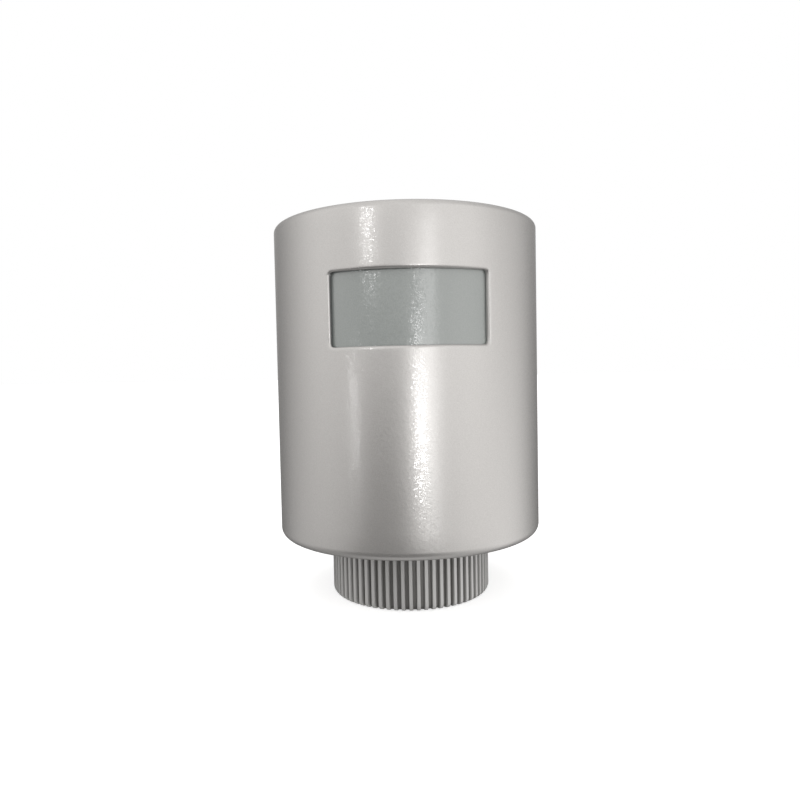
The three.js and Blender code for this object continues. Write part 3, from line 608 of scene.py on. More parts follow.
def window_loop(build, spread, radius, corner_radius=WINDOW_CORNER_RADIUS):
    """Loop round the window opening, grown by spread millimetres, at a distance from the axis."""
    half_width = radians(WINDOW_HALF_ANGLE) * BODY_RADIUS + spread
    half_height = (WINDOW_TOP - WINDOW_BOTTOM) / 2 + spread
    middle = (WINDOW_BOTTOM + WINDOW_TOP) / 2
    return build.loop([on_cylinder(degrees(s / BODY_RADIUS), radius, middle + z)
                       for s, z in rounded_frame(half_width, half_height, corner_radius)])


def wall_with_hole(build, radius, rows):
    """Cylindrical wall without the window patch. Returns its end loops and the patch's border."""
    grid = {}

    def vert(column, z):
        key = (column % AZIMUTH_STEPS, z)
        if key not in grid:
            grid[key] = build.bm.verts.new(on_cylinder(column * 360 / AZIMUTH_STEPS, radius, z))
        return grid[key]

    for low, high in zip(rows, rows[1:]):
        in_patch_rows = low >= PATCH_BOTTOM and high <= PATCH_TOP
        for column in range(-AZIMUTH_STEPS // 2, AZIMUTH_STEPS // 2):
            if not (in_patch_rows and -PATCH_COLUMNS <= column < PATCH_COLUMNS):
                build.face([vert(column, low), vert(column + 1, low), vert(column + 1, high),
                            vert(column, high)])
    bottom, top = ([vert(column, z) for column in range(AZIMUTH_STEPS)]
                   for z in (rows[0], rows[-1]))
    border = [vert(column, PATCH_BOTTOM + row) for _, _, column, row in patch_border()]
    return bottom, top, border


def blend_loops(build, first, last, shares, radius):
    """Skin on the cylinder between two loops, evenly passing from one shape to the other."""
    loops = [first]
    for share in shares:
        mixed = [a.co.lerp(b.co, share) for a, b in zip(first, last)]
        loops.append(build.loop([(*(point.xy.normalized() * radius), point.z) for point in mixed]))
    build.skin(loops + [last])


def outer_shell():
    """Body with its window opening, rounded rims, roof and key holes, open below."""
    build = Builder()
    inner = BODY_RADIUS - SHELL_WALL
    roof = BODY_TOP - SHELL_ROOF
    patch_rows = range(PATCH_BOTTOM, PATCH_TOP + 1)
    bottom, top, border = wall_with_hole(build, BODY_RADIUS, [
        BODY_BOTTOM + BOTTOM_ROUNDING, 18, 22, 26, 30, 34, 38, 42, 45, *patch_rows, 72, 74,
        BODY_TOP - TOP_ROUNDING])

    # Window opening: rounded lip, straight wall, then the rabbet that holds the lens.
    lip = WINDOW_EDGE_ROUNDING
    lip_loops = [window_loop(build, lip * out, BODY_RADIUS - lip * depth,
                             WINDOW_CORNER_RADIUS + lip * out) for out, depth in quarter(6)]
    margin = lip + 0.35
    support = window_loop(build, margin, BODY_RADIUS, WINDOW_CORNER_RADIUS + margin)
    blend_loops(build, border, support, (0.3, 0.55, 0.75, 0.9), BODY_RADIUS)
    ledge = LENS_RADIUS + 0.15
    rabbet = 1.8
    inner_loops = [window_loop(build, 0, ledge), window_loop(build, rabbet, ledge),
                   window_loop(build, rabbet, inner)]
    build.skin([support] + lip_loops + inner_loops)
    inner_bottom, inner_top, inner_border = wall_with_hole(build, inner, [
        BODY_BOTTOM + 0.3, 18, 26, 34, 42, *patch_rows, 72, roof - INNER_ROUNDING])
    blend_loops(build, inner_border, inner_loops[-1], (0.5,), inner)

    def ring(radius, z):
        return build.loop(circle(radius, AZIMUTH_STEPS, z=z))

    # Bottom rim, then the top's rounding outside and inside.
    rim = [ring(BODY_RADIUS - BOTTOM_ROUNDING * inset, BODY_BOTTOM + BOTTOM_ROUNDING * rise)
           for rise, inset in quarter(12, 1)]
    rim += [ring(inner + 0.25, BODY_BOTTOM), ring(inner + 0.08, BODY_BOTTOM + 0.08)]
    build.skin([bottom] + rim + [inner_bottom])
    over = [top] + [ring(BODY_RADIUS - TOP_ROUNDING * inset, BODY_TOP - TOP_ROUNDING * drop)
                    for drop, inset in quarter(10, 1)]
    over.append(ring(BODY_RADIUS - TOP_ROUNDING - 0.4, BODY_TOP))
    build.skin(over)
    under = [inner_top] + [ring(inner - INNER_ROUNDING * inset, roof - INNER_ROUNDING * drop)
                           for drop, inset in quarter(5, 1)]
    build.skin(under)

    # Roof with the key holes.
    rims = [(KEY_HOLE_RADIUS + KEY_HOLE_ROUNDING + 0.25, BODY_TOP)]
    rims += [(KEY_HOLE_RADIUS + KEY_HOLE_ROUNDING * out, BODY_TOP - KEY_HOLE_ROUNDING * drop)
             for out, drop in quarter(4)]
    rims.append((KEY_HOLE_RADIUS, roof))
    holes = [[build.loop(circle(radius, 64, (x, 0), z)) for radius, z in rims]
             for x in KEY_X.values()]
    for hole in holes:
        build.skin(hole)
    build.fill(over[-1], *[hole[0] for hole in holes])
    build.fill(under[-1], *[hole[-1] for hole in holes])
    build.object("housing", PAINT, ["outer_shell"], SHELL, sharp=40)


def display_window():
    """Curved lens behind the opening."""
    low, high = node_box("display_window")
    build = Builder()
    edge = degrees(asin(high.x / LENS_RADIUS))
    azimuths = np.linspace(-edge, edge, 65)
    front, back = ([build.loop([on_cylinder(a, radius, z) for a in azimuths])
                    for z in np.linspace(low.z, high.z, 17)]
                   for radius in (LENS_RADIUS, LENS_RADIUS - LENS_THICKNESS))
    build.skin(front, closed=False)
    build.skin(back, closed=False)
    for end in (0, -1):
        build.bridge(front[end], back[end], closed=False)
        build.bridge([row[end] for row in front], [row[end] for row in back], closed=False)
    build.object("window_lens", WINDOW, ["display_window"], SHELL)


# ---- union nut
NUT_RIBS = 68
NUT_TOP = node_box("union_nut")[1].z
NUT_BOTTOM_ROUNDING = 1.0
NUT_TOP_ROUNDING = 0.35
NUT_RIB_PHASE = -1.75                # degrees from the front to a rib
RIB_CREST = 0.20                     # half widths of a rib, as shares of the pitch
RIB_FOOT = 0.30
THREAD_PITCH = 1.5
THREAD_MINOR_RADIUS = 14.2
THREAD_MAJOR_RADIUS = 15.0
THREAD_BOTTOM = 0.9
THREAD_TOP = 9.4
THREAD_ROWS_PER_PITCH = 10
NUT_SHOULDER_RADIUS = 12.35


def clamp(value):
    return min(1.0, max(0.0, value))


def rib_height(share):
    """Height of a rib, 0 to 1. share is the way from its crest, as a share of the pitch."""
    t = clamp((RIB_FOOT - abs(share)) / (RIB_FOOT - RIB_CREST))
    return t * t * (3 - 2 * t)


def union_nut():
    """Ribbed nut with its helical thread and the shoulder that the neck's flange meets."""
    build = Builder()
    half = [0.14, 0.20, 0.225, 0.25, 0.275, 0.30, 0.34, 0.42]
    shares = [-share for share in reversed(half)] + [0] + half
    columns = [(NUT_RIB_PHASE + (rib + share) * 360 / NUT_RIBS, rib_height(share))
               for rib in range(NUT_RIBS) for share in shares]

    def ribbed_loop(z, inset, groove_inset):
        rib, groove = NUT_RIB_RADIUS - inset, NUT_GROOVE_RADIUS - groove_inset
        return build.loop([on_cylinder(azimuth, groove + (rib - groove) * height, z)
                           for azimuth, height in columns])

    loops = []
    for rise, inset in reversed(quarter(8)):
        inset *= NUT_BOTTOM_ROUNDING
        loops.append(ribbed_loop(NUT_BOTTOM_ROUNDING * rise, inset, 0.55 * inset))
    loops += [ribbed_loop(z, 0, 0) for z in (2, 5, 8, 10.5)]
    for drop, inset in quarter(4):
        inset *= NUT_TOP_ROUNDING
        loops.append(ribbed_loop(NUT_TOP - NUT_TOP_ROUNDING * drop, inset, inset))

    steps = 144
    bore = [build.loop(circle(radius, steps, z=z)) for radius, z in (
        (THREAD_MAJOR_RADIUS + 0.35, 0), (THREAD_MAJOR_RADIUS + 0.25, 0.1),
        (THREAD_MINOR_RADIUS + 0.1, THREAD_BOTTOM))]
    rows = int((THREAD_TOP - THREAD_BOTTOM) / THREAD_PITCH * THREAD_ROWS_PER_PITCH)
    for row in range(1, rows):
        z = THREAD_BOTTOM + (THREAD_TOP - THREAD_BOTTOM) * row / rows
        ends = min(1.0, (z - THREAD_BOTTOM) / 0.6, (THREAD_TOP - z) / 0.9)
        bore.append(build.thread_ring(z, z / THREAD_PITCH, THREAD_MINOR_RADIUS, THREAD_MAJOR_RADIUS,
                                      steps, lambda flank: ends * min(1.0, 1.25 * flank)))
    bore += [build.loop(circle(radius, steps, z=z)) for radius, z in (
        (THREAD_MINOR_RADIUS, THREAD_TOP), (NUT_SHOULDER_RADIUS + 0.2, THREAD_TOP),
        (NUT_SHOULDER_RADIUS, THREAD_TOP + 0.2), (NUT_SHOULDER_RADIUS, NUT_TOP - 0.2),
        (NUT_SHOULDER_RADIUS + 0.2, NUT_TOP))]
    build.skin(loops)
    build.skin(bore)
    for end in (0, -1):
        build.fill(loops[end], bore[end])
    build.object("ribbed_nut", NUT_GREY, ["union_nut"], NUT, sharp=50)


# ---- keys
KEY_SYMBOLS = {
    "key_minus": [rectangle_at(0, 0, 2.1, 0.42, 0.3)],
    "key_mode": [circle(1.9, 48), circle(1.15, 48)],
    "key_plus": [fillet(cross(2.1, 0.42), 0.12, 2)],
}


def key(node):
    """Round key with a flange, a soft rim and a shallow dish that holds a raised symbol."""
    low, high = node_box(node)
    x = KEY_X[node]
    name = node.removeprefix("key_")
    body = name + "_key_body"
    stem, flange, dish = 5.0, 6.0, 0.28
    profile = [(0, low.z), (flange - 0.1, low.z), (flange, low.z + 0.1), (flange, low.z + 0.4),
               (flange - 0.1, low.z + 0.5), (stem, low.z + 0.5), (stem, high.z - 0.5)]
    profile += [(stem - 0.5 * (1 - cos(t)), high.z - 0.5 * (1 - sin(t)))
                for t in np.linspace(0.15, 1.45, 6)]
    profile += [(r, high.z - 0.02 - dish * (1 - (r / 4.3) ** 2)) for r in np.linspace(4.2, 0, 9)]
    Builder().revolve(profile, 64, (x, 0)).object(name + "_cap", KEY_GREY, [node], body, sharp=40)
    outlines = [[(point[0] + x, point[1]) for point in outline] for outline in KEY_SYMBOLS[node]]
    mark = Builder().prism(outlines, high.z - 0.4, high.z - 0.06, 0.06, 2)
    mark.object(name + "_symbol", KEY_MARK, body=body)


# ---- screws
def screw(node, head_height, shank_radius, points_down=True):
    """Pan-head screw with a cross recess and a thread, in place of a CAD screw."""
    low, high = node_box(node)
    radius = (high.x - low.x) / 2
    length = high.z - low.z
    root_radius = 0.82 * shank_radius
    profile = [(0.62 * radius, 0), (0.84 * radius, -0.05), (0.95 * radius, -0.14),
               (radius, -0.32), (radius, -head_height + 0.05), (radius - 0.05, -head_height),
               (shank_radius, -head_height)]
    z = -head_height - 0.25
    while z > -length + 0.8:
        profile += [(shank_radius, z), (root_radius, z - 0.18)]
        z -= 0.36
    profile += [(root_radius, -length + 0.5), (shank_radius * 0.3, -length)]
    build = Builder()
    loops = [build.loop(circle(r, 32, z=z)) for r, z in profile]
    build.skin(loops)
    build.face(loops[-1])
    recess = cross(0.52 * radius, 0.13 * radius)
    rim = build.loop([(x, y, 0) for x, y in recess])
    floor = build.loop([(0.8 * x, 0.8 * y, -0.55 * head_height) for x, y in recess])
    build.fill(loops[0], rim)
    build.bridge(rim, floor)
    build.fill(floor)
    matrix = Matrix.Translation((*node_centre(node), high.z if points_down else low.z))
    if not points_down:
        matrix = matrix @ Matrix.Rotation(pi, 4, "X")
    build.object(node + "_fine", SCREW_STEEL, [node], matrix=matrix)


# ---- base and neck
BASE_SCREWS = ["base_screw_1", "base_screw_2", "base_screw_3"]


def base_plate():
    low, high = node_box("base_plate")
    outlines = [circle(high.x, 192), circle(12.3, 128)]
    for node in BASE_SCREWS:
        screw_low, screw_high = node_box(node)
        head_radius = (screw_high.x - screw_low.x) / 2
        outlines.append(circle(head_radius + 0.3, 40, node_centre(node)))
    plate("base_cover", "base_plate", BASE_GREY, outlines, 0.3)
    bead = Builder()
    for radius in (14.2, 24.3):
        bead.revolve([(radius - 0.35, low.z + 0.02), (radius - 0.25, low.z - 0.12),
                      (radius + 0.25, low.z - 0.12), (radius + 0.35, low.z + 0.02)], 160)
    bead.object("base_beads", BASE_GREY)


def valve_neck():
    """Flanged metal neck: the face on the valve is at the bottom, the chassis flange at the top."""
    low, high = node_box("valve_neck")
    flange, tube, bore, top_flange, neck_top = 13.9, 12.0, 9.5, 15.5, 15.5
    outline = [(bore, low.z), (flange, low.z), (flange, low.z + 2), (tube, low.z + 2),
               (tube, neck_top), (top_flange, neck_top), (top_flange, high.z), (bore, high.z)]
    Builder().revolve(fillet(outline, 0.25, 3), 160).object("neck", ZINC, ["valve_neck"])


# ---- chassis and battery compartment
DECK_SCREWS = [f"deck_screw_{number}" for number in (1, 2, 3, 4)]
CELL_RADIUS = 7.25
CELL_X = 17.6
CELL_Y = 3.0


def chassis():
    low, high = node_box("chassis")
    floor = 17.0
    build = Builder().prism([circle(high.x, 192), circle(15.8, 128)], low.z, floor, 0.25)
    post = 1.8
    build.posts(DECK_SCREWS, [
        (0, floor), (post + 0.6, floor), (post + 0.2, floor + 0.2), (post, floor + 0.7),
        (post, high.z - 0.2), (post - 0.2, high.z), (1.0, high.z), (0.9, high.z - 0.3),
        (0, high.z - 0.3)])
    build.object("frame", WHITE_PLASTIC, ["chassis"])


def top_deck():
    radius = node_box("top_deck")[1].x
    cable_slot = rectangle(-4.6, -14.4, 4.6, -12.6, 0.4)
    holes = [circle(1.1, 24, node_centre(node)) for node in DECK_SCREWS]
    plate("deck", "top_deck", WHITE_PLASTIC, [circle(radius, 192), cable_slot] + holes, 0.2)


def battery(node, side, nub_up):
    """AA cell: printed wrap over a steel can, with a crimp at each end and a nub at one."""
    low, high = node_box(node)
    centre = (side * CELL_X, CELL_Y)
    nub_height, nub = 1.0, 2.75
    bottom = low.z if nub_up else low.z + nub_height
    top = high.z - nub_height if nub_up else high.z
    wrap = Builder().revolve([
        (CELL_RADIUS - 0.45, bottom + 0.25), (CELL_RADIUS - 0.15, bottom + 0.3),
        (CELL_RADIUS, bottom + 0.55), (CELL_RADIUS, top - 0.55),
        (CELL_RADIUS - 0.15, top - 0.3), (CELL_RADIUS - 0.45, top - 0.25)], 96, centre)
    wrap.object(node + "_wrap", CELL_WRAP_UP if nub_up else CELL_WRAP_DOWN, [node])
    crimp = [(5.6, 0.02), (6.0, 0.12), (6.5, 0), (CELL_RADIUS - 0.5, 0.3)]
    lower = [(r, bottom + inset) for r, inset in crimp]
    upper = [(r, top - inset) for r, inset in reversed(crimp)]
    if nub_up:
        lower = [(0, bottom + 0.02)] + lower
        upper += [(nub + 0.25, top), (nub, top + 0.25), (nub, high.z - 0.25), (nub - 0.25, high.z),
                  (0, high.z)]
    else:
        lower = [(0, low.z), (nub - 0.25, low.z), (nub, low.z + 0.25), (nub, bottom - 0.25),
                 (nub + 0.25, bottom)] + lower
        upper.append((0, top - 0.02))
    Builder().revolve(lower + upper, 96, centre).object(node + "_can", CONTACT_STEEL)


def tray_arcs(side):
    """Flat outlines of the trough's wall, cut off at the housing and at the gearbox."""
    inner, outer, reach, gap, step = 7.45, 8.2, 25.2, 10.35, 3
    outlines = []
    far, near = [], []
    for angle in range(-180, 180 + step, step):
        across, along = cos(radians(angle)), sin(radians(angle))
        limit = outer
        while limit > inner and hypot(CELL_X + limit * across, CELL_Y + limit * along) > reach:
            limit -= 0.05
        if limit > inner + 0.2 and CELL_X + inner * across > gap:
            for edge, radius in ((far, limit), (near, inner)):
                edge.append((side * (CELL_X + radius * across), CELL_Y + radius * along))
        elif far:
            outlines.append(far + near[::-1])
            far, near = [], []
    return outlines


def battery_tray(node, side):
    low, high = node_box(node)
    build = Builder()
    for outline in tray_arcs(side):
        build.prism([outline], low.z, high.z, 0.12, 2)
    build.revolve([(0, low.z), (7.2, low.z), (7.4, low.z + 0.1), (7.4, low.z + 0.6),
                   (0, low.z + 0.6)], 72, (side * CELL_X, CELL_Y))
    build.object(node + "_trough", WHITE_PLASTIC, [node])


def battery_contacts():
    """Conical spring, contact plate, and the link between the two cells."""
    low, high = node_box("battery_spring")
    wire = 0.25
    path = []
    for t in (k / 150 for k in range(151)):
        angle = 2 * pi * 3.4 * t
        radius = 4.75 - 2.4 * clamp((t - 0.2) / 0.7)
        rise = clamp((t - 0.22) / 0.6)
        path.append((-CELL_X + radius * cos(angle), CELL_Y + radius * sin(angle),
                     low.z + wire + (high.z - low.z - 2 * wire) * rise))
    Builder().sweep(path, wire, 10).object("cell_spring", CONTACT_STEEL, ["battery_spring"])
    low, high = node_box("battery_contact")
    disc = Builder().revolve([
        (0, low.z), (3.3, low.z), (3.4, low.z + 0.1), (3.4, low.z + 0.25), (3.2, low.z + 0.35),
        (1.9, low.z + 0.35), (1.4, high.z - 0.05), (1.1, high.z), (0, high.z)],
        64, (CELL_X, CELL_Y))
    disc.object("cell_plate", CONTACT_STEEL, ["battery_contact"])
    low, high = node_box("battery_link")
    plate("cell_link", "battery_link", CONTACT_STEEL,
          [rectangle(low.x, low.y, high.x, high.y, 1.2)], 0.12, 2)


# ---- gearbox and motor
REAR_Y = 10.5                        # the motor's axis; the push pin's is the origin
MOTOR_AXIS = (0, REAR_Y)
GEARBOX_RADIUS = 10.05
GEARBOX_INNER_RADIUS = 8.85
WELL_RADIUS = 8.7
HEX_GUIDE_FLATS = 9.4
PIN_HEX_FLATS = 9.0
GEARBOX_SCREWS = [f"gearbox_screw_{number}" for number in (1, 2, 3, 4)]


def stadium(radius, steps=32):
    """Outline about the two axes: round ends joined by straight sides, counter-clockwise."""
    return [(radius * cos(t), y + radius * sin(t))
            for y, first, last in ((0, pi, 2 * pi), (REAR_Y, 0, pi))
            for t in np.linspace(first, last, steps)]


def hexagon(flats, rounding=0.3):
    reach = flats / sqrt(3)
    corners = [(reach * cos(pi * k / 3), reach * sin(pi * k / 3))
               for k in range(6)]
    return fillet(corners, rounding, 3)


def gearbox_housing():
    low, high = node_box("gearbox_housing")
    room_floor = 33.4
    build = Builder()
    outer = build.side_loops(stadium(GEARBOX_RADIUS), low.z, high.z, 0.4)
    well_bottom, well_top = (build.loop(circle(WELL_RADIUS, 72, z=z)) for z in (low.z, room_floor))
    room_bottom, room_top = (build.loop([(x, y, z) for x, y in stadium(GEARBOX_INNER_RADIUS)])
                             for z in (room_floor, high.z))
    build.fill(outer[0], well_bottom)
    build.bridge(well_bottom, well_top)
    build.fill(room_bottom, well_top)
    build.bridge(room_bottom, room_top)
    build.fill(outer[1], room_top)
    build.posts(GEARBOX_SCREWS, [
        (0, 36), (1.9, 36), (2.4, 36.8), (2.4, high.z - 0.3), (2.2, high.z - 0.1),
        (1.1, high.z - 0.1), (1.0, high.z - 0.5), (0, high.z - 0.5)])
    hoop = [stadium(GEARBOX_RADIUS + 0.22), stadium(GEARBOX_RADIUS - 0.2)]
    for z in (20.5, 27, 33.5):
        build.prism(hoop, z, z + 0.8, 0.15, 2)
    build.object("gearbox_shell", BLACK_PLASTIC, ["gearbox_housing"])
    guide = [circle(WELL_RADIUS + 0.05, 96), hexagon(HEX_GUIDE_FLATS, 0.4)]
    Builder().prism(guide, 22, 25, 0.3).object("gearbox_web", BLACK_PLASTIC)


def gearbox_cover():
    low, high = node_box("gearbox_cover")
    build = Builder().prism([stadium(GEARBOX_RADIUS), circle(3.4, 40, MOTOR_AXIS), circle(0.9, 24)],
                            low.z, high.z, 0.3)
    build.posts(GEARBOX_SCREWS, [
        (0, low.z + 0.05), (2.3, low.z + 0.05), (2.4, low.z + 0.15), (2.4, high.z - 0.3),
        (2.2, high.z - 0.1), (0, high.z - 0.1)])
    build.object("gearbox_lid", BLACK_PLASTIC, ["gearbox_cover"])


def motor_section(radius, flats, steps=28):
    """Round outline with two flats."""
    reach = asin(flats / 2 / radius)
    return [(radius * sin(angle), REAR_Y - radius * cos(angle))
            for start in (0, pi) for angle in np.linspace(start - reach, start + reach, steps)]


def motor():
    low, high = node_box("motor_can")
    bottom = 48.8
    can = Builder().prism([motor_section(10.2, 15.1), circle(3.2, 48, MOTOR_AXIS)], bottom, high.z,
                          0.9, 6)
    can.revolve([(1.4, low.z), (2.8, low.z), (3.0, low.z + 0.2), (3.0, bottom + 0.6),
                 (3.25, bottom + 0.6), (3.25, bottom + 1.2), (1.4, bottom + 1.2)], 64, MOTOR_AXIS)
    can.object("motor_case", MOTOR_STEEL, ["motor_can"])
    plate("motor_cap", "motor_end_cap", BLACK_PLASTIC,
          [motor_section(9.6, 14.3), circle(1.4, 32, MOTOR_AXIS)], 0.6, 4)
    turned_part("rotor_shaft", "motor_shaft", BRIGHT_STEEL, 0, 1.0, REAR_Y, 0.15, 40, ROTOR)
    plate("rotor_pinion", "motor_pinion", BRASS,
          [gear_outline(10, REAR_Y), circle(1.05, 32, MOTOR_AXIS)], 0.08, 1, ROTOR)


def motor_lead(node, side, finish):
    knots = [(2.6, 0.6, 67.6), (2.75, -1.6, 66.9), (3.1, -5, 63.4), (3.5, -9, 58.9),
             (3.6, -12, 56.5), (3.6, -13.6, 56.1)]
    path = catmull_rom([Vector((side * x, y, z)) for x, y, z in knots], 8)
    Builder().sweep(path, 0.55, 14).object(node + "_sleeve", finish, [node])


# ---- gears, axles and push pin
GEAR_MODULE = 0.5
GEAR_ADDENDUM = 0.4
GEAR_DEDENDUM = 0.525
TOOTH_SHARE = 0.42
PRESSURE_ANGLE = radians(20)
WHEEL_BORE_RADIUS = 0.95
WHEEL_THICKNESS = 1.6


def gear_outline(teeth, centre_y):
    """Involute teeth. On the front axis a tooth points to the rear, on the rear axis a gap faces
    the front."""
    pitch_radius = GEAR_MODULE * teeth / 2
    base_radius = pitch_radius * cos(PRESSURE_ANGLE)
    phase = pi / 2 if centre_y == 0 else -pi / 2 + pi / teeth

    def involute(radius):
        angle = acos(min(1.0, base_radius / radius))
        return tan(angle) - angle

    radii = np.linspace(pitch_radius - GEAR_DEDENDUM, pitch_radius + GEAR_ADDENDUM, 5)
    flank = [(r, TOOTH_SHARE * pi / teeth + involute(pitch_radius) - involute(r))
             for r in radii]
    tooth = [(r, -half) for r, half in flank] + [(r, half) for r, half in reversed(flank)]
    return [(r * cos(middle + turn), centre_y + r * sin(middle + turn))
            for middle in (phase + 2 * pi * k / teeth for k in range(teeth))
            for r, turn in tooth]


def compound_gear(stage, pinion_teeth, wheel_teeth, centre_y):
    low, high = node_box("gear_" + stage)
    bore = circle(WHEEL_BORE_RADIUS, 32, (0, centre_y))
    wheel_bottom = high.z - WHEEL_THICKNESS
    build = Builder()
    build.prism([gear_outline(wheel_teeth, centre_y), bore], wheel_bottom, high.z, 0.08, 1)
    build.prism([gear_outline(pinion_teeth, centre_y), bore], low.z, wheel_bottom + 0.1, 0.06, 1)
    build.object(f"gear_{stage}_fine", GEAR_PLASTIC, ["gear_" + stage], stage + "_body")


def output_gear():
    """Wheel on a hub whose bore is the nut of the push pin's thread."""
    low, high = node_box("output_gear")
    teeth_bottom, step_top = 34, 29.3
    flange, hub, counterbore, bore = 8.2, 6.6, 5.5, 4.25
    outline = [(counterbore, low.z), (flange, low.z), (flange, low.z + 1.6), (hub, low.z + 1.6),
               (hub, teeth_bottom + 0.1), (bore, teeth_bottom + 0.1), (bore, step_top),
               (counterbore, step_top)]
    build = Builder().revolve(fillet(outline, 0.15, 2))
    build.prism([gear_outline(32, 0), circle(bore, 64)], teeth_bottom, high.z, 0.08, 1)
    build.object("spindle_nut", GEAR_PLASTIC, ["output_gear"], "output_gear_body")


def push_pin():
    """Hexagonal foot with a threaded rod above it and a steel pad in its face."""
    low, high = node_box("push_pin")
    top = 29
    build = Builder()
    build.prism([hexagon(PIN_HEX_FLATS), circle(3.2, 64)], low.z, low.z + 2.2, 0.35)
    build.prism([hexagon(PIN_HEX_FLATS)], low.z + 2.1, top, 0.35)
    rows = int((high.z - top) / THREAD_PITCH * THREAD_ROWS_PER_PITCH)
    loops = []
    for row in range(rows + 1):
        z = top - 0.05 + (high.z - top + 0.05) * row / rows
        ends = min(1.0, (high.z - z) / 0.8)
        loops.append(build.thread_ring(z, (z - top) / THREAD_PITCH, 3.25, 4.0, 72,
                                       lambda flank: ends * (1 - min(1.0, 1.3 * flank))))
    build.skin(loops)
    build.face(loops[0])
    build.face(loops[-1])
    build.object("plunger", GEAR_PLASTIC, ["push_pin"], PIN)
    low, high = node_box("push_pin_pad")
    pad = Builder().revolve([
        (0, low.z), (1.2, low.z + 0.01), (2.4, low.z + 0.06), (2.85, low.z + 0.2),
        (3.0, low.z + 0.45), (3.0, high.z), (0, high.z)], 72)
    pad.object("plunger_pad", BRIGHT_STEEL, ["push_pin_pad"], PIN)


# ---- electronics
FACING_FRONT = Matrix(((1, 0, 0, 0), (0, 0, -1, 0), (0, 1, 0, 0), (0, 0, 0, 1)))


def slab(name, finish, outlines, back, front, bevel, replaces=()):
    """Slab that faces -Y: outlines are in X and Z, back and front are its Y limits."""
    build = Builder().prism(outlines, -back, -front, bevel, 2)
    build.object(name, finish, replaces, matrix=FACING_FRONT)


def front_outline(low, high, rounding, inset=0.0):
    """Rounded outline of a box as seen from the front."""
    return rectangle(low.x + inset, low.z + inset, high.x - inset, high.z - inset, rounding)


def main_board():
    low, high = node_box("main_pcb")
    surface = low.y
    holes = [circle(1.1, 24, (x, z)) for x in (-16.6, 16.6) for z in (low.z + 2.4, 45.5)]
    slab("board", BOARD_GREEN, [front_outline(low, high, 1.2)] + holes, high.y, surface, 0.06,
         ["main_pcb"])
    low, high = node_box("radio_module")
    board_front = surface - 0.7
    slab("radio_board", DARK_BOARD, [front_outline(low, high, 0.3)], surface - 0.02, board_front,
         0.05)
    shield = rectangle(low.x + 1, low.z + 0.8, high.x - 1, high.z - 5, 0.6)
    slab("radio_can", CONTACT_STEEL, [shield], board_front, low.y, 0.25, ["radio_module"])
    chip("controller", "microcontroller", surface - 0.12, 0.1)
    chip_leads(surface)
    chip("sensor", "temperature_sensor", surface - 0.1, 0.15)
    small_parts(surface)


def chip(name, node, back, bevel):
    low, high = node_box(node)
    slab(name, CHIP_BLACK, [front_outline(low, high, 0.2)], back, low.y, bevel, [node])


def chip_leads(surface):
    """Flat leads on all four sides of the controller."""
    low, high = node_box("microcontroller")
    build = Builder()
    count, reach, half = 8, 0.9, 0.14
    for share in ((k + 1) / (count + 1) for k in range(count)):
        x = low.x + (high.x - low.x) * share
        z = low.z + (high.z - low.z) * share
        for corners in ((x - half, low.z - reach, x + half, low.z),
                        (x - half, high.z, x + half, high.z + reach),
                        (low.x - reach, z - half, low.x, z + half),
                        (high.x, z - half, high.x + reach, z + half)):
            build.prism([rectangle(*corners, 0.05)], -surface + 0.02, -surface + 0.22, 0.03, 1)
    build.object("controller_leads", CONTACT_STEEL, matrix=FACING_FRONT)


# Small parts soldered on the board: width, height, thickness, and the X and Z of each.
RESISTORS = [(1.6, 0.8, 0.45, [(-9, 45), (-5, 45), (-1, 45), (9, 42), (6.5, 26), (10.5, 26)]),
             (0.8, 1.6, 0.45, [(5, 41), (16, 36), (11.6, 22.4)])]
CAPACITORS = [(1.3, 2.0, 1.1, [(-16, 38), (-16, 33)]), (1.0, 1.6, 0.8, [(3.6, 33)]),
              (2.0, 1.3, 1.1, [(13, 42)]), (2.6, 1.8, 1.5, [(-3, 22)])]


def small_parts(surface):
    """Resistors and capacitors, with a metal terminal at each end."""
    caps = Builder()
    for name, kinds, finish in (("resistors", RESISTORS, CHIP_BLACK),
                                ("capacitors", CAPACITORS, CERAMIC)):
        build = Builder()
        for width, height, thickness, places in kinds:
            trim = 0.22 * max(width, height)
            lying = width > height
            ends = [(end * (width - trim) / 2, 0) if lying else (0, end * (height - trim) / 2)
                    for end in (-1, 1)]
            body = (trim, 0.02) if lying else (0.02, trim)
            cap = (trim / 2, height / 2) if lying else (width / 2, trim / 2)
            for x, z in places:
                build.prism([rectangle_at(x, z, width / 2 - body[0], height / 2 - body[1], 0.03)],
                            -surface + 0.04, -surface + thickness, 0.04, 1)
                for end_x, end_z in ends:
                    caps.prism([rectangle_at(x + end_x, z + end_z, *cap, 0.05)], -surface + 0.02,
                               -surface + thickness + 0.03, 0.05, 1)
        build.object("board_" + name, finish, matrix=FACING_FRONT)
    caps.object("board_terminals", CONTACT_STEEL, matrix=FACING_FRONT)


def display_module():
    low, high = node_box("lcd_frame")
    glass_low, glass_high = node_box("lcd_glass")
    slab("display_frame", WHITE_PLASTIC,
         [front_outline(low, high, 1.0), front_outline(glass_low, glass_high, 0.4, -0.3)],
         high.y, low.y, 0.2, ["lcd_frame"])
    slab("display_glass", LCD_GLASS, [front_outline(glass_low, glass_high, 0.3)], glass_high.y,
         glass_low.y, 0.12, ["lcd_glass"])
    margin = 1.6
    film = rectangle(glass_low.x + margin, glass_low.z + 2 * margin, glass_high.x - margin,
                     glass_high.z - margin, 0.3)
    slab("display_film", LCD_FILM, [film], glass_low.y + 0.02, glass_low.y - 0.12, 0.03)
    slab("display_back", WHITE_PLASTIC, [front_outline(low, high, 0.5, 1.4)], high.y - 0.05,
         glass_high.y + 0.03, 0.1)


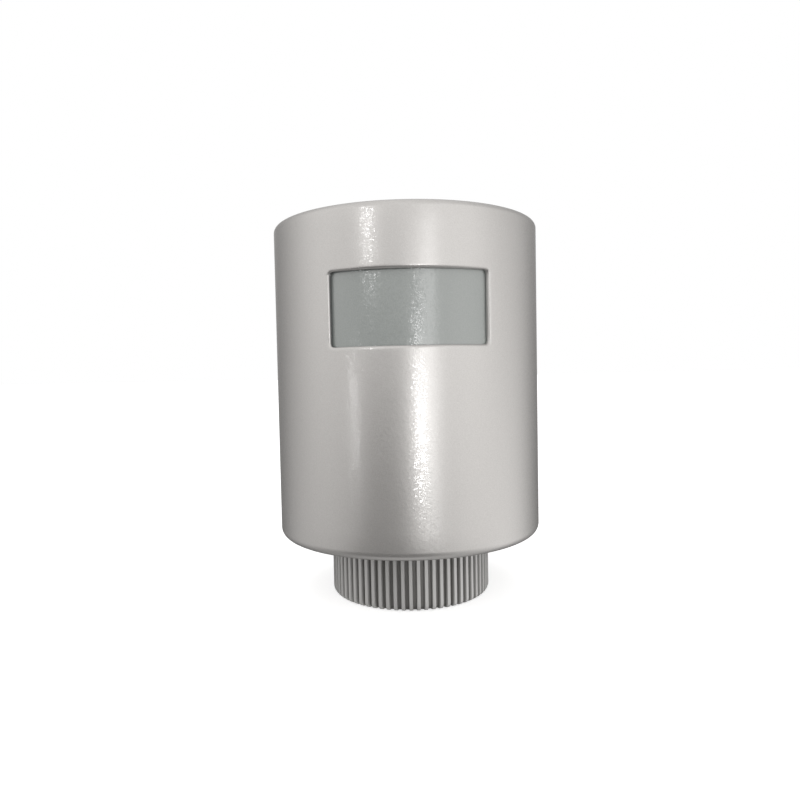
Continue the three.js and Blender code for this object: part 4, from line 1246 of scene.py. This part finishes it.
def tact_switch(number, x):
    node = f"tact_switch_{number}"
    low, high = node_box(node)
    base = Builder().prism([rectangle_at(x, 0, 2.3, 2.3, 0.3)], low.z, low.z + 0.42, 0.08, 2)
    base.revolve([(0, low.z + 0.5), (1.4, low.z + 0.5), (1.4, high.z - 0.12), (1.28, high.z),
                  (0, high.z)], 40, (x, 0))
    base.object(f"switch_{number}_base", CHIP_BLACK, [node])
    cover = Builder().prism([rectangle_at(x, 0, 2.25, 2.25, 0.35), circle(1.55, 40, (x, 0))],
                            low.z + 0.4, low.z + 0.7, 0.07, 2)
    for foot_x in (x - 2.75, x + 2.75):
        for foot_y in (-1.5, 1.5):
            cover.prism([rectangle_at(foot_x, foot_y, 0.55, 0.35, 0.08)], low.z - 0.06,
                        low.z + 0.1, 0.03, 1)
    cover.object(f"switch_{number}_cover", CONTACT_STEEL)


def key_board():
    low, high = node_box("key_pcb")
    holes = [circle(0.8, 20, (x, y)) for x in (-6.5, 6.5) for y in (-5, 5)]
    plate("key_board", "key_pcb", BOARD_GREEN,
          [rectangle(low.x, low.y, high.x, high.y, 1.0)] + holes, 0.06, 2)
    for number, x in enumerate(KEY_X.values(), 1):
        tact_switch(number, x)


def flex_cable():
    """Flat ribbon from behind the main board, through the deck's slot, to the key board."""
    low, high = node_box("flex_cable")
    half_width = (high.x - low.x) / 2
    half_thickness = 0.06
    knots = [(-13.62, low.z), (-13.62, 71.62), (high.y, 71.62)]
    bend_steps = 8
    bend = fillet(knots, 0.5, bend_steps)[bend_steps + 1:2 * bend_steps + 2]
    path = [Vector(point) for point in (knots[0], *bend, knots[-1])]
    build = Builder()
    loops = []
    for i, (y, z) in enumerate(path):
        along = (path[min(i + 1, len(path) - 1)] - path[max(i - 1, 0)]).normalized()
        off_y, off_z = -along.y * half_thickness, along.x * half_thickness
        loops.append(build.loop([(half_width * x, y + side * off_y, z + side * off_z)
                                 for x, side in ((-1, -1), (1, -1), (1, 1), (-1, 1))]))
    build.skin(loops)
    build.face(loops[0])
    build.face(loops[-1])
    build.object("ribbon", RIBBON, ["flex_cable"])


# ---- assembly
def add_pieces():
    outer_shell()
    display_window()
    union_nut()
    for node in KEY_X:
        key(node)
    base_plate()
    for node in BASE_SCREWS:
        screw(node, 1.1, 1.0, points_down=False)
    valve_neck()
    chassis()
    top_deck()
    for deck_screw, gearbox_screw in zip(DECK_SCREWS, GEARBOX_SCREWS):
        screw(deck_screw, 0.9, 0.8)
        screw(gearbox_screw, 1.1, 0.8)
    battery_tray("battery_tray_left", -1)
    battery_tray("battery_tray_right", 1)
    battery("battery_left", -1, nub_up=True)
    battery("battery_right", 1, nub_up=False)
    battery_contacts()
    gearbox_housing()
    gearbox_cover()
    motor()
    motor_lead("motor_lead_red", 1, WIRE_RED)
    motor_lead("motor_lead_black", -1, WIRE_BLACK)
    output_gear()
    compound_gear("stage_1", 10, 30, REAR_Y)
    compound_gear("stage_2", 12, 30, 0)
    compound_gear("stage_3", 12, 30, REAR_Y)
    compound_gear("stage_4", 12, 32, 0)
    turned_part("front_axle", "axle_front", BRIGHT_STEEL, 0, 0.75)
    turned_part("rear_axle", "axle_rear", BRIGHT_STEEL, 0, 0.75, REAR_Y)
    turned_part("washer", "thrust_washer", BRIGHT_STEEL, 6.9, 8.2)
    turned_part("bearing_plate", "thrust_plate", BRIGHT_STEEL, 6.9, 8.6)
    turned_part("wiper_seal", "pin_seal", RUBBER, 5.6, 8.5, edge=0.25)
    push_pin()
    main_board()
    display_module()
    key_board()
    flex_cable()


# ---- light and floor
LIGHT_DISTANCE = 0.6
# Softboxes: name, azimuth, elevation, width and height in metres, watts.
SOFTBOXES = [
    ("strip_main", 8.4, -6, 0.010, 0.08, 0.18),
    ("strip_faint", 8.4, -1, 0.010, 0.19, 0.09),
    ("band", 18, 0, 0.10, 0.36, 0.16),
    ("strip_high", -31, 16, 0.026, 0.06, 0.11),
    ("strip_left", -45, -4, 0.02, 0.06, 0.045),
]
# Soft light from all round: azimuth, elevation, sharpness and strength of each broad patch.
AMBIENT = 0.08
SKY_PATCHES = [
    (51, 5, 4.5, 1.10),
    (93, -28, 10.0, 0.78),
    (-74, 15, 4.5, 0.92),
    (-5, 30, 4.0, 0.62),
    (180, 85, 3.0, 0.75),
    (180, 15, 14.0, 0.45),
    (-112, -25, 14.0, 0.25),
    (105, 4, 12.0, 0.28),
    (-15, 6, 20.0, 0.34),
    (-15, -30, 9.0, -1.18),
    (0, -88, 6.0, 0.45),
]
FLOOR_HALF_SIZE = 4.0                # metres
FLOOR_GAP = 0.0001
FLOOR_GLOW = 0.62


def heading(azimuth, elevation):
    """Unit vector at an azimuth and elevation in degrees."""
    a, e = radians(azimuth), radians(elevation)
    return Vector((sin(a) * cos(e), -cos(a) * cos(e), sin(e)))


def add_softbox(name, azimuth, elevation, width, height, watts):
    """Area light that faces the body's middle."""
    data = bpy.data.lights.new(name, "AREA")
    data.shape = "RECTANGLE"
    data.size = width
    data.size_y = height
    data.energy = watts
    light = add_object(name, data)
    away = heading(azimuth, elevation)
    middle = Vector((0, 0, (BODY_BOTTOM + BODY_TOP) / 2 * MM))
    light.location = middle + away * LIGHT_DISTANCE
    light.rotation_euler = away.to_track_quat("Z", "Y").to_euler()


def add_studio():
    """White surround for the camera, and uneven soft light for everything else."""
    world = bpy.data.worlds.new("studio")
    bpy.context.scene.world = world
    world.use_nodes = True
    tree = world.node_tree
    tree.nodes.clear()
    direction = add_node(tree, "TexCoord").outputs["Generated"]
    total = AMBIENT
    for azimuth, elevation, sharpness, strength in SKY_PATCHES:
        dot = add_node(tree, "VectorMath", {0: direction, 1: heading(azimuth, elevation)},
                       operation="DOT_PRODUCT").outputs["Value"]
        fall = calculate(tree, "MULTIPLY", calculate(tree, "SUBTRACT", dot, 1), sharpness)
        patch = calculate(tree, "MULTIPLY", calculate(tree, "EXPONENT", fall), strength)
        total = calculate(tree, "ADD", total, patch)
    light = add_node(tree, "Background", {
        "Color": (1, 0.99, 0.98, 1), "Strength": calculate(tree, "MAXIMUM", total, 0)})
    seen = add_node(tree, "Background", {"Color": (1, 1, 1, 1)})
    camera_ray = add_node(tree, "LightPath").outputs["Is Camera Ray"]
    mix = add_node(tree, "MixShader", {0: camera_ray, 1: light.outputs[0],
                                                 2: seen.outputs[0]})
    add_node(tree, "OutputWorld", {"Surface": mix.outputs[0]})
    bpy.context.scene.view_settings.view_transform = "Standard"


def add_floor():
    """White floor that takes shadows and gives the object no light or reflection."""
    mesh = bpy.data.meshes.new("floor")
    half = FLOOR_HALF_SIZE
    mesh.from_pydata([(-half, -half, 0), (half, -half, 0), (half, half, 0), (-half, half, 0)], [],
                     [(0, 1, 2, 3)])
    floor = add_object("floor", mesh)
    floor.location.z = -FLOOR_GAP
    white = Material("floor_white", (0.9, 0.9, 0.9), 0.9, Emission_Color=(1, 1, 1, 1),
                     Emission_Strength=FLOOR_GLOW)
    mesh.materials.append(white.material)
    floor.visible_glossy = False
    floor.visible_diffuse = False
    floor.visible_shadow = False


add_camera()
add_pieces()
add_studio()
add_floor()
for softbox in SOFTBOXES:
    add_softbox(*softbox)
